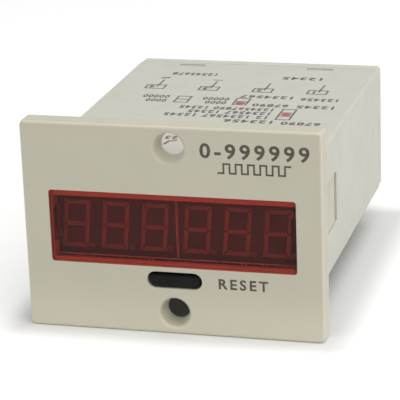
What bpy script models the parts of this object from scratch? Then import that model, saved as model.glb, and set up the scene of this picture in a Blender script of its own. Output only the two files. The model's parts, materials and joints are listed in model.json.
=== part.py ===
"""Panel counter: a six-digit counting instrument in a plastic case with a square-edged front bezel.

Every piece hangs from one empty, whose own origin is the middle of the bezel's front face. There, x
runs to the right as seen from the front, y counts from the bezel's front face into the panel, and z
counts up from the bezel's middle.
"""

import math

import bmesh
import bpy
from mathutils import Vector

MM = 0.001

# Clearances
FIT_GAP = 0.2 * MM          # between two pieces that seat on each other
SLIDE_GAP = 0.4 * MM        # round the reset button in its slot
BORE_GAP = 0.25 * MM        # round a screw or a plunger in its hole
LENS_GAP = 0.1 * MM         # round the edge of the display window
UNION_LAP = 0.5 * MM        # how far a moulded feature reaches into the wall that carries it

# Digits
DIGITS_PER_MODULE = 3
DIGIT_WIDTH = 6.4 * MM
DIGIT_HEIGHT = 11.7 * MM
DIGIT_SPACE = 3.2 * MM     # between one digit and the next
DIGIT_SLANT = math.radians(5.0)
SEGMENT_WIDTH = 1.0 * MM
SEGMENT_SPLIT = 0.2 * MM    # from each end of a segment to the mitre that it shares with the next
SEGMENT_GAP = 0.08 * MM     # between the filling and the edge of its opening
POINT_RADIUS = 0.65 * MM
POINT_REACH = 1.05 * MM     # from the digit's right edge to the middle of its decimal point

# Digit modules, side by side behind the window
MODULE_MARGIN = 0.5 * MM    # how much wider a module is than its digits at their pitch
MODULE_SPACE = 0.28 * MM     # between the two modules
MODULE_BROW = 2.7 * MM      # above the digits
MODULE_SILL = 2.0 * MM      # below the digits
DIGITS_LEFT = 0.25 * MM     # how far the digits stand left of the module's middle
MODULE_DEPTH = 7.0 * MM
MODULE_STANDOFF = 1.0 * MM  # from the bezel's plate to the face of the digits
MODULE_DROP = 0.5 * MM      # how far the digits' middle lies under the window's middle
MODULE_FACE = 1.4 * MM
MODULE_WALL = 0.8 * MM

# Display window and its rebate
LENS_SIDE_COVER = 0.06 * MM  # past the modules at each side
LENS_END_COVER = 0.05 * MM  # past the modules' lower edge
LENS_THICK = 1.5 * MM
LENS_CORNER = 0.6 * MM
LEDGE_SIDE = 0.35 * MM
LEDGE_TOP = 1.6 * MM
LEDGE_FOOT = 0.6 * MM
LEDGE_THICK = 1.0 * MM
TAB_HEIGHT = 8.0 * MM
TAB_WALL = 0.9 * MM
TAB_HOOK = 0.35 * MM
TAB_LEAD = 1.2 * MM         # length of the hook's slope

# Display board, its posts and screws
BOARD_THICK = 1.6 * MM
BOARD_ROOM = 0.6 * MM       # from the display board to the housing above and below it
SCREW_RADIUS = 1.1 * MM
SCREW_TIP_ROOM = 0.4 * MM
SCREW_HEAD_RADIUS = 2.4 * MM
SCREW_HEAD_HEIGHT = 1.5 * MM
POST_WALL = 0.8 * MM
POST_ROOM = 0.6 * MM        # from a module to the posts above and below it
POST_INSET = 4.5 * MM       # from the board's end to the middle of a post
POST_FLOOR = 1.6 * MM       # left solid at the root of a post
DRIVER_LENGTH = 18.0 * MM
DRIVER_WIDTH = 7.6 * MM
DRIVER_THICK = 2.1 * MM
DRIVER_RISE = 3.0 * MM

# Reset button and its switch
SLOT_WIDTH = 13.3 * MM
SLOT_HEIGHT = 4.1 * MM
SLOT_X = 0.2 * MM
SLOT_LIP = 0.25 * MM
BUTTON_RECESS = 0.4 * MM
BUTTON_EDGE = 0.35 * MM
BUTTON_FLANGE = 1.0 * MM
BUTTON_RIM = 0.6 * MM
BUTTON_ROOM = 1.2 * MM      # from the modules down to the button's rim
BUTTON_FOOT = 0.5 * MM      # from the button's rim down to the housing
BUTTON_STEM_RADIUS = 1.25 * MM
BUTTON_TRAVEL = 0.5 * MM
NOTCH_ROOM = 3.35 * MM      # at each side of the slot, where the collar is left out
SWITCH_WIDTH = 6.0 * MM
SWITCH_DEPTH = 3.4 * MM
SWITCH_HEIGHT = 3.6 * MM
SWITCH_PLATE = 0.3 * MM
PLUNGER_RADIUS = 0.85 * MM
PLUNGER_EDGE = 0.17 * MM
PLUNGER_PROUD = 0.9 * MM
PLUNGER_SUNK = 1.6 * MM

# Housing
HOUSING_WALL = 1.6 * MM
HOUSING_CORNER = 0.6 * MM
MOUTH_STEP = 0.1 * MM       # how much smaller the housing is where it enters the bezel
SIDE_ROOM = 0.26 * MM       # from a digit module to the latch arm beside it
LATCH_START = 15.4 * MM     # from the bezel's rear face to the latch window
LATCH_LENGTH = 11.0 * MM
LATCH_HEIGHT = 12.5 * MM
LATCH_ROOM = 1.4 * MM       # from the board rails up to the latch window
LATCH_ARM = 1.2 * MM
LATCH_SINK = 0.1 * MM
LATCH_SLOPE = 2.2 * MM       # length of the catch's lead-in
RAIL_REACH = 1.7 * MM
RAIL_THICK = 1.2 * MM
BOARD_LIFT = 4.6 * MM       # from the housing's floor to the main board
HEADROOM = 1.7 * MM         # over the transformer

# Bezel
BEZEL_THICK = 4.6 * MM
BEZEL_FLANGE = 3.3 * MM     # past the housing at each side
BEZEL_CORNER = 1.4 * MM
BEZEL_FILLET = 0.9 * MM
SEAT_DEPTH = 0.4 * MM       # of the recess in which the housing's mouth seats
COLLAR_LENGTH = 5.0 * MM
COLLAR_WALL = 1.2 * MM
HOLE_ROOM = 3.7 * MM        # from the housing to the middle of a screw hole
HOLE_EDGE = 5.3 * MM        # from there to the bezel's edge
HOLE_REAR_RADIUS = 2.8 * MM
HOLE_FRONT_RADIUS = 3.5 * MM
HOLE_LIP = 0.85 * MM

# Rear cover and its snaps
COVER_RIM = 3.8 * MM
COVER_CORNER = 1.1 * MM
COVER_FILLET = 0.5 * MM
COVER_WALL = 1.6 * MM
COVER_LEDGE = 0.15 * MM     # left of the cover beside its window, inside the plug
PLUG_WALL = 1.4 * MM
PLUG_LIP = 0.8 * MM         # in front of the snaps
SNAP_X = 17.45 * MM
SNAP_WIDTH = 6.9 * MM
SNAP_LENGTH = 1.8 * MM
SNAP_EDGE = 1.2 * MM        # from the housing's rear edge to the snap slot
SNAP_SINK = 0.1 * MM
SNAP_SLOPE = 0.5 * MM        # length of a hook's lead-in

# Terminal block and terminals
TERMINALS = 4
POCKET_WIDTH = 12.2 * MM
POCKET_HEIGHT = 14.4 * MM
POCKET_DEPTH = 9.0 * MM
POCKET_WALL = 1.6 * MM
POCKET_RIB = 2.1 * MM       # between two pockets
BLOCK_FLANGE = 1.2 * MM
BLOCK_FLANGE_THICK = 1.2 * MM
PLATE_ROOM = 1.3 * MM       # from a terminal plate to the pocket's side
PLATE_THICK = 1.0 * MM
PLATE_CLIP = 1.0 * MM
TAIL_WIDTH = 4.0 * MM
TAIL_LENGTH = 5.0 * MM
TERMINAL_SCREW_RADIUS = 1.5 * MM
TERMINAL_SCREW_LENGTH = 6.0 * MM
TERMINAL_HEAD_RADIUS = 2.9 * MM
TERMINAL_HEAD_HEIGHT = 1.8 * MM
WASHER_SIDE = 7.6 * MM
WASHER_THICK = 0.7 * MM

# Shares that shape every screw
SCREW_TIP_SHARE = 0.6       # of the shank's radius, left at its tip
HEAD_RIM_SHARE = 0.45       # of the head's height, straight before its crown
HEAD_CROWN_SHARE = 0.55     # of the head's radius, left at its top
HEAD_SLOT_SHARE = 0.3       # of the head's radius, the width of its slot

# Parts on the main board
CORE_WIDTH = 24.0 * MM
CORE_STACK = 11.0 * MM
BOBBIN_REACH = 4.6 * MM     # how far the bobbin stands out in front of and behind the core
CAN_RADIUS = 5.0 * MM
CAN_HEIGHT = 16.0 * MM
SMALL_CAN_RADIUS = 3.15 * MM
SMALL_CAN_HEIGHT = 11.0 * MM
CAN_CRIMP = 2.0 * MM
CAN_GROOVE = 0.35 * MM
CAN_LIP = 0.5 * MM
CAN_DISH = 0.3 * MM
REGULATOR_WIDTH = 10.0 * MM
REGULATOR_DEPTH = 4.5 * MM
REGULATOR_HEIGHT = 9.0 * MM
REGULATOR_LIFT = 3.5 * MM
HEAT_TAB_THICK = 1.3 * MM
HEAT_TAB_HEIGHT = 6.2 * MM
CHIP_WIDTH = 6.4 * MM
CHIP_HEIGHT = 3.4 * MM
CHIP_LIFT = 0.6 * MM
CHIP_DRAFT = 0.4 * MM
COUNTER_PINS = 10
MEMORY_PINS = 4
COUPLER_PINS = 2
LEG_PITCH = 2.54 * MM
LEG_WIDTH = 0.9 * MM
LEG_THICK = 0.35 * MM
RECTIFIER_LENGTH = 8.4 * MM
RECTIFIER_PITCH = 5.08 * MM
CRYSTAL_LENGTH = 11.0 * MM
CRYSTAL_WIDTH = 4.6 * MM
CRYSTAL_HEIGHT = 3.6 * MM
CRYSTAL_FOOT = 0.5 * MM
HEADER_PINS = 10
HEADER_STRIP = 2.5 * MM
HEADER_PIN = 0.6 * MM
HEADER_HOLE = 1.1 * MM

# Room between the parts on the main board
MAIN_BOARD_START = 2.4 * MM  # from the display board to the main board
CHIP_ROW_ROOM = 9.4 * MM    # behind the header
CHIP_EDGE = 9.4 * MM        # from the housing's left wall to the counter chip
CHIP_SPACE = 5.5 * MM
CRYSTAL_ROOM = 1.8 * MM
CORE_EDGE = 3.6 * MM        # from the housing's left wall to the transformer
CORE_ROOM = 8.6 * MM
CAN_ROOM = 11.1 * MM
CAN_SPACE = 4.5 * MM
SMALL_CAN_SPACE = 1.85 * MM
RECTIFIER_ROOM = 0.6 * MM
RECTIFIER_SPACE = 4.3 * MM
REGULATOR_ROOM = 0.35 * MM
COUPLER_EDGE = 4.56 * MM    # from the optocoupler to the housing's right wall
RIGHT_EDGE = 3.0 * MM       # the least from any part to the housing's right wall
REAR_ROOM = 3.9 * MM        # from the rearmost part to the terminals' tails

# Facets on a full turn, and steps round a corner or a round end
FINE_TURN = 40
TURN = 24
SMALL_TURN = 16
POINT_TURN = 8
CORNER_STEPS = 4
END_STEPS = 9
EDGE_STEPS = 3

# Digit modules and window, worked out from the digits
DIGIT_PITCH = DIGIT_WIDTH + DIGIT_SPACE
MODULE_WIDTH = DIGITS_PER_MODULE * DIGIT_PITCH + MODULE_MARGIN
MODULE_HEIGHT = MODULE_SILL + DIGIT_HEIGHT + MODULE_BROW
MODULES_REACH = MODULE_WIDTH + MODULE_SPACE / 2
LENS_WIDTH = 2 * (MODULES_REACH + LENS_SIDE_COVER)
LENS_HEIGHT = 2 * (MODULE_HEIGHT / 2 + MODULE_DROP + LENS_END_COVER)

# Posts, slot and terminal block, worked out from what stands next to them
POST_RADIUS = SCREW_RADIUS + FIT_GAP + POST_WALL
POST_Z = MODULE_DROP + MODULE_HEIGHT / 2 + POST_ROOM + POST_RADIUS
RIM_REACH = SLOT_HEIGHT / 2 - SLIDE_GAP + BUTTON_RIM
SLOT_DROP = MODULE_DROP + MODULE_HEIGHT / 2 + BUTTON_ROOM + RIM_REACH
TERMINAL_PITCH = POCKET_WIDTH + POCKET_RIB
BLOCK_X = ((TERMINALS - 1) * TERMINAL_PITCH + POCKET_WIDTH) / 2 + POCKET_WALL
PLATE_WIDTH = POCKET_WIDTH - 2 * PLATE_ROOM

# Transformer: an E and an I lamination cut from one strip without waste, and what is wound on it
CORE_YOKE = CORE_WIDTH / 6
CORE_LEG = 2 * CORE_YOKE
CORE_HEIGHT = 5 * CORE_YOKE
BOBBIN_WALL = 0.2 * CORE_YOKE
WINDING_MARGIN = 0.15 * CORE_YOKE

# The inside of the housing is as wide and as high as what it holds
COUNTER_LENGTH = COUNTER_PINS * LEG_PITCH
MEMORY_LENGTH = MEMORY_PINS * LEG_PITCH
COUPLER_LENGTH = COUPLER_PINS * LEG_PITCH
DISPLAY_NEED = MODULES_REACH + SIDE_ROOM + max(LATCH_ARM, COLLAR_WALL) + FIT_GAP
BLOCK_NEED = BLOCK_X + FIT_GAP + COVER_LEDGE + PLUG_WALL + FIT_GAP
CHIP_ROW_NEED = (CHIP_EDGE + COUNTER_LENGTH + CHIP_SPACE + MEMORY_LENGTH + RIGHT_EDGE) / 2
POWER_ROW = CORE_EDGE + CORE_WIDTH + CAN_SPACE + 2 * CAN_RADIUS + SMALL_CAN_SPACE + 2 * SMALL_CAN_RADIUS
INNER_X = max(DISPLAY_NEED, BLOCK_NEED, CHIP_ROW_NEED, (POWER_ROW + RIGHT_EDGE) / 2)
CORE_STAND = BOBBIN_WALL + FIT_GAP
CORE_NEED = (BOARD_LIFT + BOARD_THICK + FIT_GAP + CORE_STAND + CORE_HEIGHT + HEADROOM) / 2
POST_NEED = POST_Z + max(POST_RADIUS, SCREW_HEAD_RADIUS) + FIT_GAP
BUTTON_NEED = SLOT_DROP + RIM_REACH + BUTTON_FOOT
INNER_Z = max(CORE_NEED, POST_NEED, BUTTON_NEED)
HOUSING_WIDTH = 2 * (INNER_X + HOUSING_WALL)
HOUSING_HEIGHT = 2 * (INNER_Z + HOUSING_WALL)

# Bezel, worked out from the housing
HOLE_DROP = HOUSING_HEIGHT / 2 + HOLE_ROOM
BEZEL_WIDTH = HOUSING_WIDTH + 2 * BEZEL_FLANGE
BEZEL_HEIGHT = 2 * (HOLE_DROP + HOLE_EDGE)
SEAT_FACE = BEZEL_THICK - SEAT_DEPTH
COLLAR_X = INNER_X - FIT_GAP
COLLAR_Z = INNER_Z - FIT_GAP
LEDGE_START = LENS_THICK + FIT_GAP
LEDGE_END = LEDGE_START + LEDGE_THICK

# Heights inside the housing
MAIN_BOARD_Z = BOARD_LIFT + BOARD_THICK - INNER_Z
PART_Z = MAIN_BOARD_Z + FIT_GAP
LATCH_LOW = MAIN_BOARD_Z + FIT_GAP + RAIL_THICK + LATCH_ROOM
LATCH_HIGH = LATCH_LOW + LATCH_HEIGHT
POCKET_LOW = MAIN_BOARD_Z
POCKET_HIGH = POCKET_LOW + POCKET_HEIGHT
TERMINAL_Z = (POCKET_LOW + POCKET_HIGH) / 2
BLOCK_LOW = POCKET_LOW - POCKET_WALL
BLOCK_HIGH = POCKET_HIGH + POCKET_WALL
HEADER_Z = PART_Z + HEADER_STRIP / 2

# Places on the main board: x from the counter's middle, y from the board's front edge
CHIP_REACH = CHIP_WIDTH / 2 + 2 * LEG_THICK
CHIP_ROW_Y = FIT_GAP + HEADER_STRIP + CHIP_ROW_ROOM + CHIP_REACH
COUNTER_X = CHIP_EDGE + COUNTER_LENGTH / 2 - INNER_X
MEMORY_X = COUNTER_X + COUNTER_LENGTH / 2 + CHIP_SPACE + MEMORY_LENGTH / 2
CRYSTAL_Y = CHIP_ROW_Y + CHIP_REACH + CRYSTAL_ROOM + CRYSTAL_FOOT + CRYSTAL_WIDTH / 2
BOBBIN_Y = CORE_STACK / 2 + BOBBIN_REACH
CORE_X = CORE_EDGE + CORE_WIDTH / 2 - INNER_X
CORE_Y = CRYSTAL_Y + CRYSTAL_WIDTH / 2 + CRYSTAL_FOOT + CORE_ROOM + BOBBIN_Y
CORE_RIGHT = CORE_X + CORE_WIDTH / 2
CAN_X = CORE_RIGHT + CAN_SPACE + CAN_RADIUS
CAN_Y = CHIP_ROW_Y + CHIP_REACH + CAN_ROOM + CAN_RADIUS
SMALL_CAN_X = CAN_X + CAN_RADIUS + SMALL_CAN_SPACE + SMALL_CAN_RADIUS
SMALL_CAN_Y = CHIP_ROW_Y + CHIP_REACH + CAN_ROOM + SMALL_CAN_RADIUS
RECTIFIER_X = CORE_RIGHT + RECTIFIER_SPACE + RECTIFIER_LENGTH / 2
RECTIFIER_Y = CAN_Y + CAN_RADIUS + RECTIFIER_ROOM + CHIP_REACH
REGULATOR_X = CAN_X + REGULATOR_WIDTH / 2
REGULATOR_Y = RECTIFIER_Y + CHIP_REACH + REGULATOR_ROOM + REGULATOR_DEPTH / 2
COUPLER_X = INNER_X - COUPLER_EDGE - COUPLER_LENGTH / 2
COUPLER_Y = CORE_Y
REARMOST = max(CORE_Y + BOBBIN_Y, REGULATOR_Y + REGULATOR_DEPTH / 2)

# Depths, counted from the bezel's front face
MODULE_SETBACK = SEAT_FACE + MODULE_STANDOFF
MODULE_REAR = MODULE_SETBACK + MODULE_DEPTH
DISPLAY_BOARD_FRONT = MODULE_REAR + FIT_GAP
DISPLAY_BOARD_REAR = DISPLAY_BOARD_FRONT + BOARD_THICK
PILOT_FLOOR = BEZEL_THICK + POST_FLOOR
BOARD_FRONT = DISPLAY_BOARD_REAR + MAIN_BOARD_START
TAIL_FRONT = BOARD_FRONT + REARMOST + REAR_ROOM
BLOCK_FRONT = TAIL_FRONT + TAIL_LENGTH
BOARD_REAR = BLOCK_FRONT - FIT_GAP
POCKET_FLOOR = BLOCK_FRONT + POCKET_WALL
TOTAL_DEPTH = POCKET_FLOOR + POCKET_DEPTH
RIM_FRONT = TOTAL_DEPTH - COVER_RIM
HOUSING_START = SEAT_FACE + FIT_GAP
HOUSING_END = RIM_FRONT - FIT_GAP
LATCH_WINDOW_START = BEZEL_THICK + LATCH_START
LATCH_WINDOW_END = LATCH_WINDOW_START + LATCH_LENGTH
SNAP_SLOT_END = HOUSING_END - SNAP_EDGE
SNAP_SLOT_START = SNAP_SLOT_END - SNAP_LENGTH
PLUG_FRONT = SNAP_SLOT_START - PLUG_LIP
SWITCH_REAR = DISPLAY_BOARD_FRONT - FIT_GAP
SWITCH_FRONT = SWITCH_REAR - SWITCH_DEPTH
SWITCH_PLATE_REAR = SWITCH_FRONT - FIT_GAP
SWITCH_PLATE_FRONT = SWITCH_PLATE_REAR - SWITCH_PLATE
PLUNGER_FRONT = SWITCH_PLATE_FRONT - PLUNGER_PROUD
PLUNGER_REAR = SWITCH_FRONT + PLUNGER_SUNK

# Display board
DISPLAY_BOARD_X = COLLAR_X - LATCH_ARM - FIT_GAP
DISPLAY_BOARD_Z = INNER_Z - BOARD_ROOM
POST_X = DISPLAY_BOARD_X - POST_INSET


def clear_scene():
    for obj in list(bpy.data.objects):
        bpy.data.objects.remove(obj, do_unlink=True)


def finish(name, colour, roughness, metallic=0.0, transmission=0.0):
    material = bpy.data.materials.new(name)
    material.use_nodes = True
    shader = material.node_tree.nodes["Principled BSDF"]
    shader.inputs["Base Color"].default_value = (*colour, 1.0)
    shader.inputs["Roughness"].default_value = roughness
    shader.inputs["Metallic"].default_value = metallic
    shader.inputs["Transmission Weight"].default_value = transmission
    material.diffuse_color = (*colour, 1.0)
    return material


# Outlines in the X-Z plane, counter-clockwise

def arc(cx, cz, radius, start, end, steps):
    angles = [start + (end - start) * i / steps for i in range(steps + 1)]
    return [(cx + radius * math.cos(a), cz + radius * math.sin(a)) for a in angles]


def rounded_rect(width, height, radius, steps=CORNER_STEPS):
    x = width / 2 - radius
    z = height / 2 - radius
    quarter = math.pi / 2
    points = arc(x, z, radius, 0, quarter, steps)
    points += arc(-x, z, radius, quarter, 2 * quarter, steps)
    points += arc(-x, -z, radius, 2 * quarter, 3 * quarter, steps)
    points += arc(x, -z, radius, 3 * quarter, 4 * quarter, steps)
    return points


def stadium(width, height, steps=END_STEPS):
    radius = height / 2
    x = width / 2 - radius
    points = arc(x, 0, radius, -math.pi / 2, math.pi / 2, steps)
    points += arc(-x, 0, radius, math.pi / 2, 3 * math.pi / 2, steps)
    return points


def rectangle(x0, x1, z0, z1):
    return [(x0, z0), (x1, z0), (x1, z1), (x0, z1)]


def circle(radius, steps, cx=0.0, cz=0.0):
    return arc(cx, cz, radius, 0, 2 * math.pi * (steps - 1) / steps, steps - 1)


def row(count, pitch):
    """The places of count things at one pitch, about their middle."""
    middle = (count - 1) / 2
    return [(number - middle) * pitch for number in range(count)]


# Solids added to a bmesh

def loft(bm, rings):
    """Skin a row of closed rings of equal length and close both ends."""
    loops = [[bm.verts.new(point) for point in ring] for ring in rings]
    count = len(rings[0])
    for near, far in zip(loops, loops[1:]):
        for i in range(count):
            j = (i + 1) % count
            bm.faces.new((near[i], near[j], far[j], far[i]))
    bm.faces.new(list(reversed(loops[0])))
    bm.faces.new(loops[-1])


def along_y(outline, y):
    return [(x, y, z) for x, z in outline]


def prism(bm, outline, y0, y1):
    """Extrude an X-Z outline along Y."""
    loft(bm, [along_y(outline, y0), along_y(outline, y1)])


def upright_prism(bm, outline, z0, z1):
    """Extrude an X-Y outline along Z."""
    loft(bm, [[(x, y, z) for x, y in outline] for z in (z0, z1)])


def side_prism(bm, outline, x0, x1):
    """Extrude a Y-Z outline along X."""
    loft(bm, [[(x, y, z) for y, z in outline] for x in (x0, x1)])


def box(bm, x0, x1, y0, y1, z0, z1):
    prism(bm, rectangle(x0, x1, z0, z1), y0, y1)


def turned(bm, profile, steps, centre=(0.0, 0.0)):
    """Turn a (radius, y) profile about a Y axis through centre."""
    loft(bm, [along_y(circle(radius, steps, *centre), y) for radius, y in profile])


def upright_turned(bm, profile, steps):
    """Turn a (radius, z) profile about the Z axis."""
    loft(bm, [[(x, y, z) for x, y in circle(radius, steps)] for radius, z in profile])


def fillet(radius, steps=EDGE_STEPS):
    """Yield (inset, depth) pairs down a quarter-round edge, from its face to its side."""
    for i in range(steps + 1):
        angle = math.pi / 2 * i / steps
        yield radius * (1 - math.sin(angle)), radius * (1 - math.cos(angle))


# Objects

def solid(name, bm, material, parent, location=(0.0, 0.0, 0.0)):
    bmesh.ops.recalc_face_normals(bm, faces=bm.faces)
    mesh = bpy.data.meshes.new(name)
    bm.to_mesh(mesh)
    bm.free()
    if material is not None:
        mesh.materials.append(material)
    obj = bpy.data.objects.new(name, mesh)
    bpy.context.scene.collection.objects.link(obj)
    obj.parent = parent
    obj.location = location
    return obj


def guide(name, bm, parent, location=(0.0, 0.0, 0.0)):
    """A solid that only serves a Boolean."""
    obj = solid(name, bm, None, parent, location)
    obj.hide_render = True
    obj.display_type = "WIRE"
    return obj


def boolean(obj, tool, operation):
    modifier = obj.modifiers.new(tool.name, "BOOLEAN")
    modifier.operation = operation
    modifier.object = tool
    modifier.solver = "EXACT"


def cut(obj, tool):
    boolean(obj, tool, "DIFFERENCE")


def join(obj, tool):
    boolean(obj, tool, "UNION")


def smooth(obj, angle=35.0):
    obj.data.shade_smooth()
    obj.data.set_sharp_from_angle(angle=math.radians(angle))


def placeholder(name, parent, location):
    empty = bpy.data.objects.new(name, None)
    bpy.context.scene.collection.objects.link(empty)
    empty.parent = parent
    empty.location = location
    return empty


# Bezel

def build_bezel(frame, material):
    bm = bmesh.new()
    rings = []
    for inset, depth in fillet(BEZEL_FILLET):
        outline = rounded_rect(BEZEL_WIDTH - 2 * inset, BEZEL_HEIGHT - 2 * inset, BEZEL_CORNER - inset)
        rings.append(along_y(outline, depth))
    rings.append(along_y(rounded_rect(BEZEL_WIDTH, BEZEL_HEIGHT, BEZEL_CORNER), BEZEL_THICK))
    loft(bm, rings)
    bezel = solid("front_bezel", bm, material, frame)

    cut(bezel, seat_guide(frame))
    cut(bezel, rebate_guide(frame))
    cut(bezel, window_guide(frame))
    cut(bezel, slot_guide(frame))
    for side in (1, -1):
        cut(bezel, hole_guide(frame, side))
    join(bezel, collar_guide(frame))
    for side in (1, -1):
        join(bezel, latch_arm_guide(frame, side))
    for post_x, post_z in post_places():
        join(bezel, post_guide(frame, post_x, post_z))
        cut(bezel, pilot_guide(frame, post_x, post_z))
    smooth(bezel)


def seat_guide(frame):
    """The shallow recess that takes the housing's mouth."""
    bm = bmesh.new()
    room = FIT_GAP - MOUTH_STEP
    outline = rounded_rect(HOUSING_WIDTH + 2 * room, HOUSING_HEIGHT + 2 * room, HOUSING_CORNER + room)
    prism(bm, outline, SEAT_FACE, BEZEL_THICK + UNION_LAP)
    return guide("housing_seat_cut", bm, frame)


def rebate_guide(frame):
    """The rebate that takes the display window, flush with the bezel's face."""
    bm = bmesh.new()
    outline = rounded_rect(LENS_WIDTH + 2 * LENS_GAP, LENS_HEIGHT + 2 * LENS_GAP, LENS_CORNER + LENS_GAP)
    prism(bm, outline, -UNION_LAP, LEDGE_START)
    return guide("window_rebate_cut", bm, frame)


def window_guide(frame):
    """The clear opening inside the ledge, and the wider chamber behind it for the digit modules."""
    clear_x = LENS_WIDTH / 2 - LEDGE_SIDE
    wide_x = MODULES_REACH + 1.5 * FIT_GAP
    wide_z = LENS_HEIGHT / 2 + LENS_GAP
    clear = rectangle(-clear_x, clear_x, LEDGE_FOOT - LENS_HEIGHT / 2, LENS_HEIGHT / 2 - LEDGE_TOP)
    wide = rectangle(-wide_x, wide_x, -wide_z, wide_z)
    bm = bmesh.new()
    loft(bm, [along_y(clear, LEDGE_START - UNION_LAP), along_y(clear, LEDGE_END),
              along_y(wide, LEDGE_END), along_y(wide, BEZEL_THICK + UNION_LAP)])
    return guide("window_opening_cut", bm, frame)


def slot_guide(frame):
    """The reset button's slot, with a rounded mouth."""
    rings = [along_y(stadium(SLOT_WIDTH + 2 * SLOT_LIP, SLOT_HEIGHT + 2 * SLOT_LIP), -UNION_LAP)]
    for inset, depth in fillet(SLOT_LIP):
        rings.append(along_y(stadium(SLOT_WIDTH + 2 * inset, SLOT_HEIGHT + 2 * inset), depth))
    rings.append(along_y(stadium(SLOT_WIDTH, SLOT_HEIGHT), BEZEL_THICK + UNION_LAP))
    bm = bmesh.new()
    loft(bm, rings)
    return guide("reset_slot_cut", bm, frame, (SLOT_X, 0, -SLOT_DROP))


def hole_guide(frame, side):
    """A tapered screw hole with a rounded mouth."""
    profile = [(HOLE_FRONT_RADIUS + HOLE_LIP, -UNION_LAP)]
    profile += [(HOLE_FRONT_RADIUS + inset, depth) for inset, depth in fillet(HOLE_LIP)]
    profile += [(HOLE_REAR_RADIUS, BEZEL_THICK), (HOLE_REAR_RADIUS, BEZEL_THICK + UNION_LAP)]
    bm = bmesh.new()
    turned(bm, profile, FINE_TURN)
    name = "upper_hole_cut" if side > 0 else "lower_hole_cut"
    return guide(name, bm, frame, (0, 0, side * HOLE_DROP))


def collar_guide(frame):
    """The spigot that centres the bezel in the housing, open where the reset button works."""
    x = COLLAR_X
    z = COLLAR_Z
    wall = COLLAR_WALL
    left = SLOT_X - SLOT_WIDTH / 2 - NOTCH_ROOM
    right = SLOT_X + SLOT_WIDTH / 2 + NOTCH_ROOM
    outline = [
        (left, -z), (-x, -z), (-x, z), (x, z), (x, -z), (right, -z),
        (right, wall - z), (x - wall, wall - z), (x - wall, z - wall),
        (wall - x, z - wall), (wall - x, wall - z), (left, wall - z),
    ]
    bm = bmesh.new()
    prism(bm, outline, SEAT_FACE - UNION_LAP, BEZEL_THICK + COLLAR_LENGTH)
    return guide("collar_join", bm, frame)


def latch_arm_guide(frame, side):
    """A springy arm whose wedge snaps into the housing's side window."""
    root_y = SEAT_FACE - UNION_LAP
    catch_y = LATCH_WINDOW_START + FIT_GAP
    end_y = LATCH_WINDOW_END - FIT_GAP
    inner_x = COLLAR_X - LATCH_ARM
    catch_x = HOUSING_WIDTH / 2 - LATCH_SINK
    tip_x = INNER_X + FIT_GAP
    outline = [(inner_x, root_y), (COLLAR_X, root_y), (COLLAR_X, catch_y), (catch_x, catch_y),
               (catch_x, end_y - LATCH_SLOPE), (tip_x, end_y), (inner_x, end_y)]
    bm = bmesh.new()
    upright_prism(bm, [(side * x, y) for x, y in outline], LATCH_LOW + FIT_GAP, LATCH_HIGH - FIT_GAP)
    return guide("right_arm_join" if side > 0 else "left_arm_join", bm, frame)


def post_places():
    return [(x, z) for z in (-POST_Z, POST_Z) for x in (-POST_X, POST_X)]


def post_guide(frame, post_x, post_z):
    bm = bmesh.new()
    turned(bm, [(POST_RADIUS, SEAT_FACE - UNION_LAP), (POST_RADIUS, MODULE_REAR)], TURN)
    return guide("post_join", bm, frame, (post_x, 0, post_z))


def pilot_guide(frame, post_x, post_z):
    radius = SCREW_RADIUS + FIT_GAP
    bm = bmesh.new()
    turned(bm, [(radius, PILOT_FLOOR), (radius, MODULE_REAR + UNION_LAP)], SMALL_TURN)
    return guide("pilot_cut", bm, frame, (post_x, 0, post_z))


# Display

def build_lens(frame, material):
    """A clear plate with a snap tab at each end that hooks behind the ledge."""
    bm = bmesh.new()
    prism(bm, rounded_rect(LENS_WIDTH, LENS_HEIGHT, LENS_CORNER), 0, LENS_THICK)
    window = solid("display_window", bm, material, frame)

    outer_x = LENS_WIDTH / 2 - LEDGE_SIDE - LENS_GAP
    inner_x = outer_x - TAB_WALL
    root_y = LENS_THICK - UNION_LAP
    hook_y = LEDGE_END + FIT_GAP
    end_y = MODULE_SETBACK - FIT_GAP
    outline = [(inner_x, root_y), (outer_x, root_y), (outer_x, hook_y), (outer_x + TAB_HOOK, hook_y),
               (outer_x, hook_y + TAB_LEAD), (outer_x, end_y), (inner_x, end_y)]
    bm = bmesh.new()
    for side in (1, -1):
        upright_prism(bm, [(side * x, y) for x, y in outline], -TAB_HEIGHT / 2, TAB_HEIGHT / 2)
    join(window, guide("window_tabs_join", bm, frame))


def grown(outline, reach):
    """A convex outline, counter-clockwise, with its edges moved outwards."""
    result = []
    for before, point, after in zip(outline[-1:] + outline[:-1], outline, outline[1:] + outline[:1]):
        near = (Vector(point) - Vector(before)).normalized()
        far = (Vector(after) - Vector(point)).normalized()
        share = reach / (1 + near.dot(far))
        result.append((point[0] + (near.y + far.y) * share, point[1] - (near.x + far.x) * share))
    return result


def mirrored(outline, sx, sz):
    """An outline mirrored to another quarter of the digit, still counter-clockwise."""
    points = [(sx * x, sz * z) for x, z in outline]
    return points if sx * sz > 0 else points[::-1]


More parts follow.
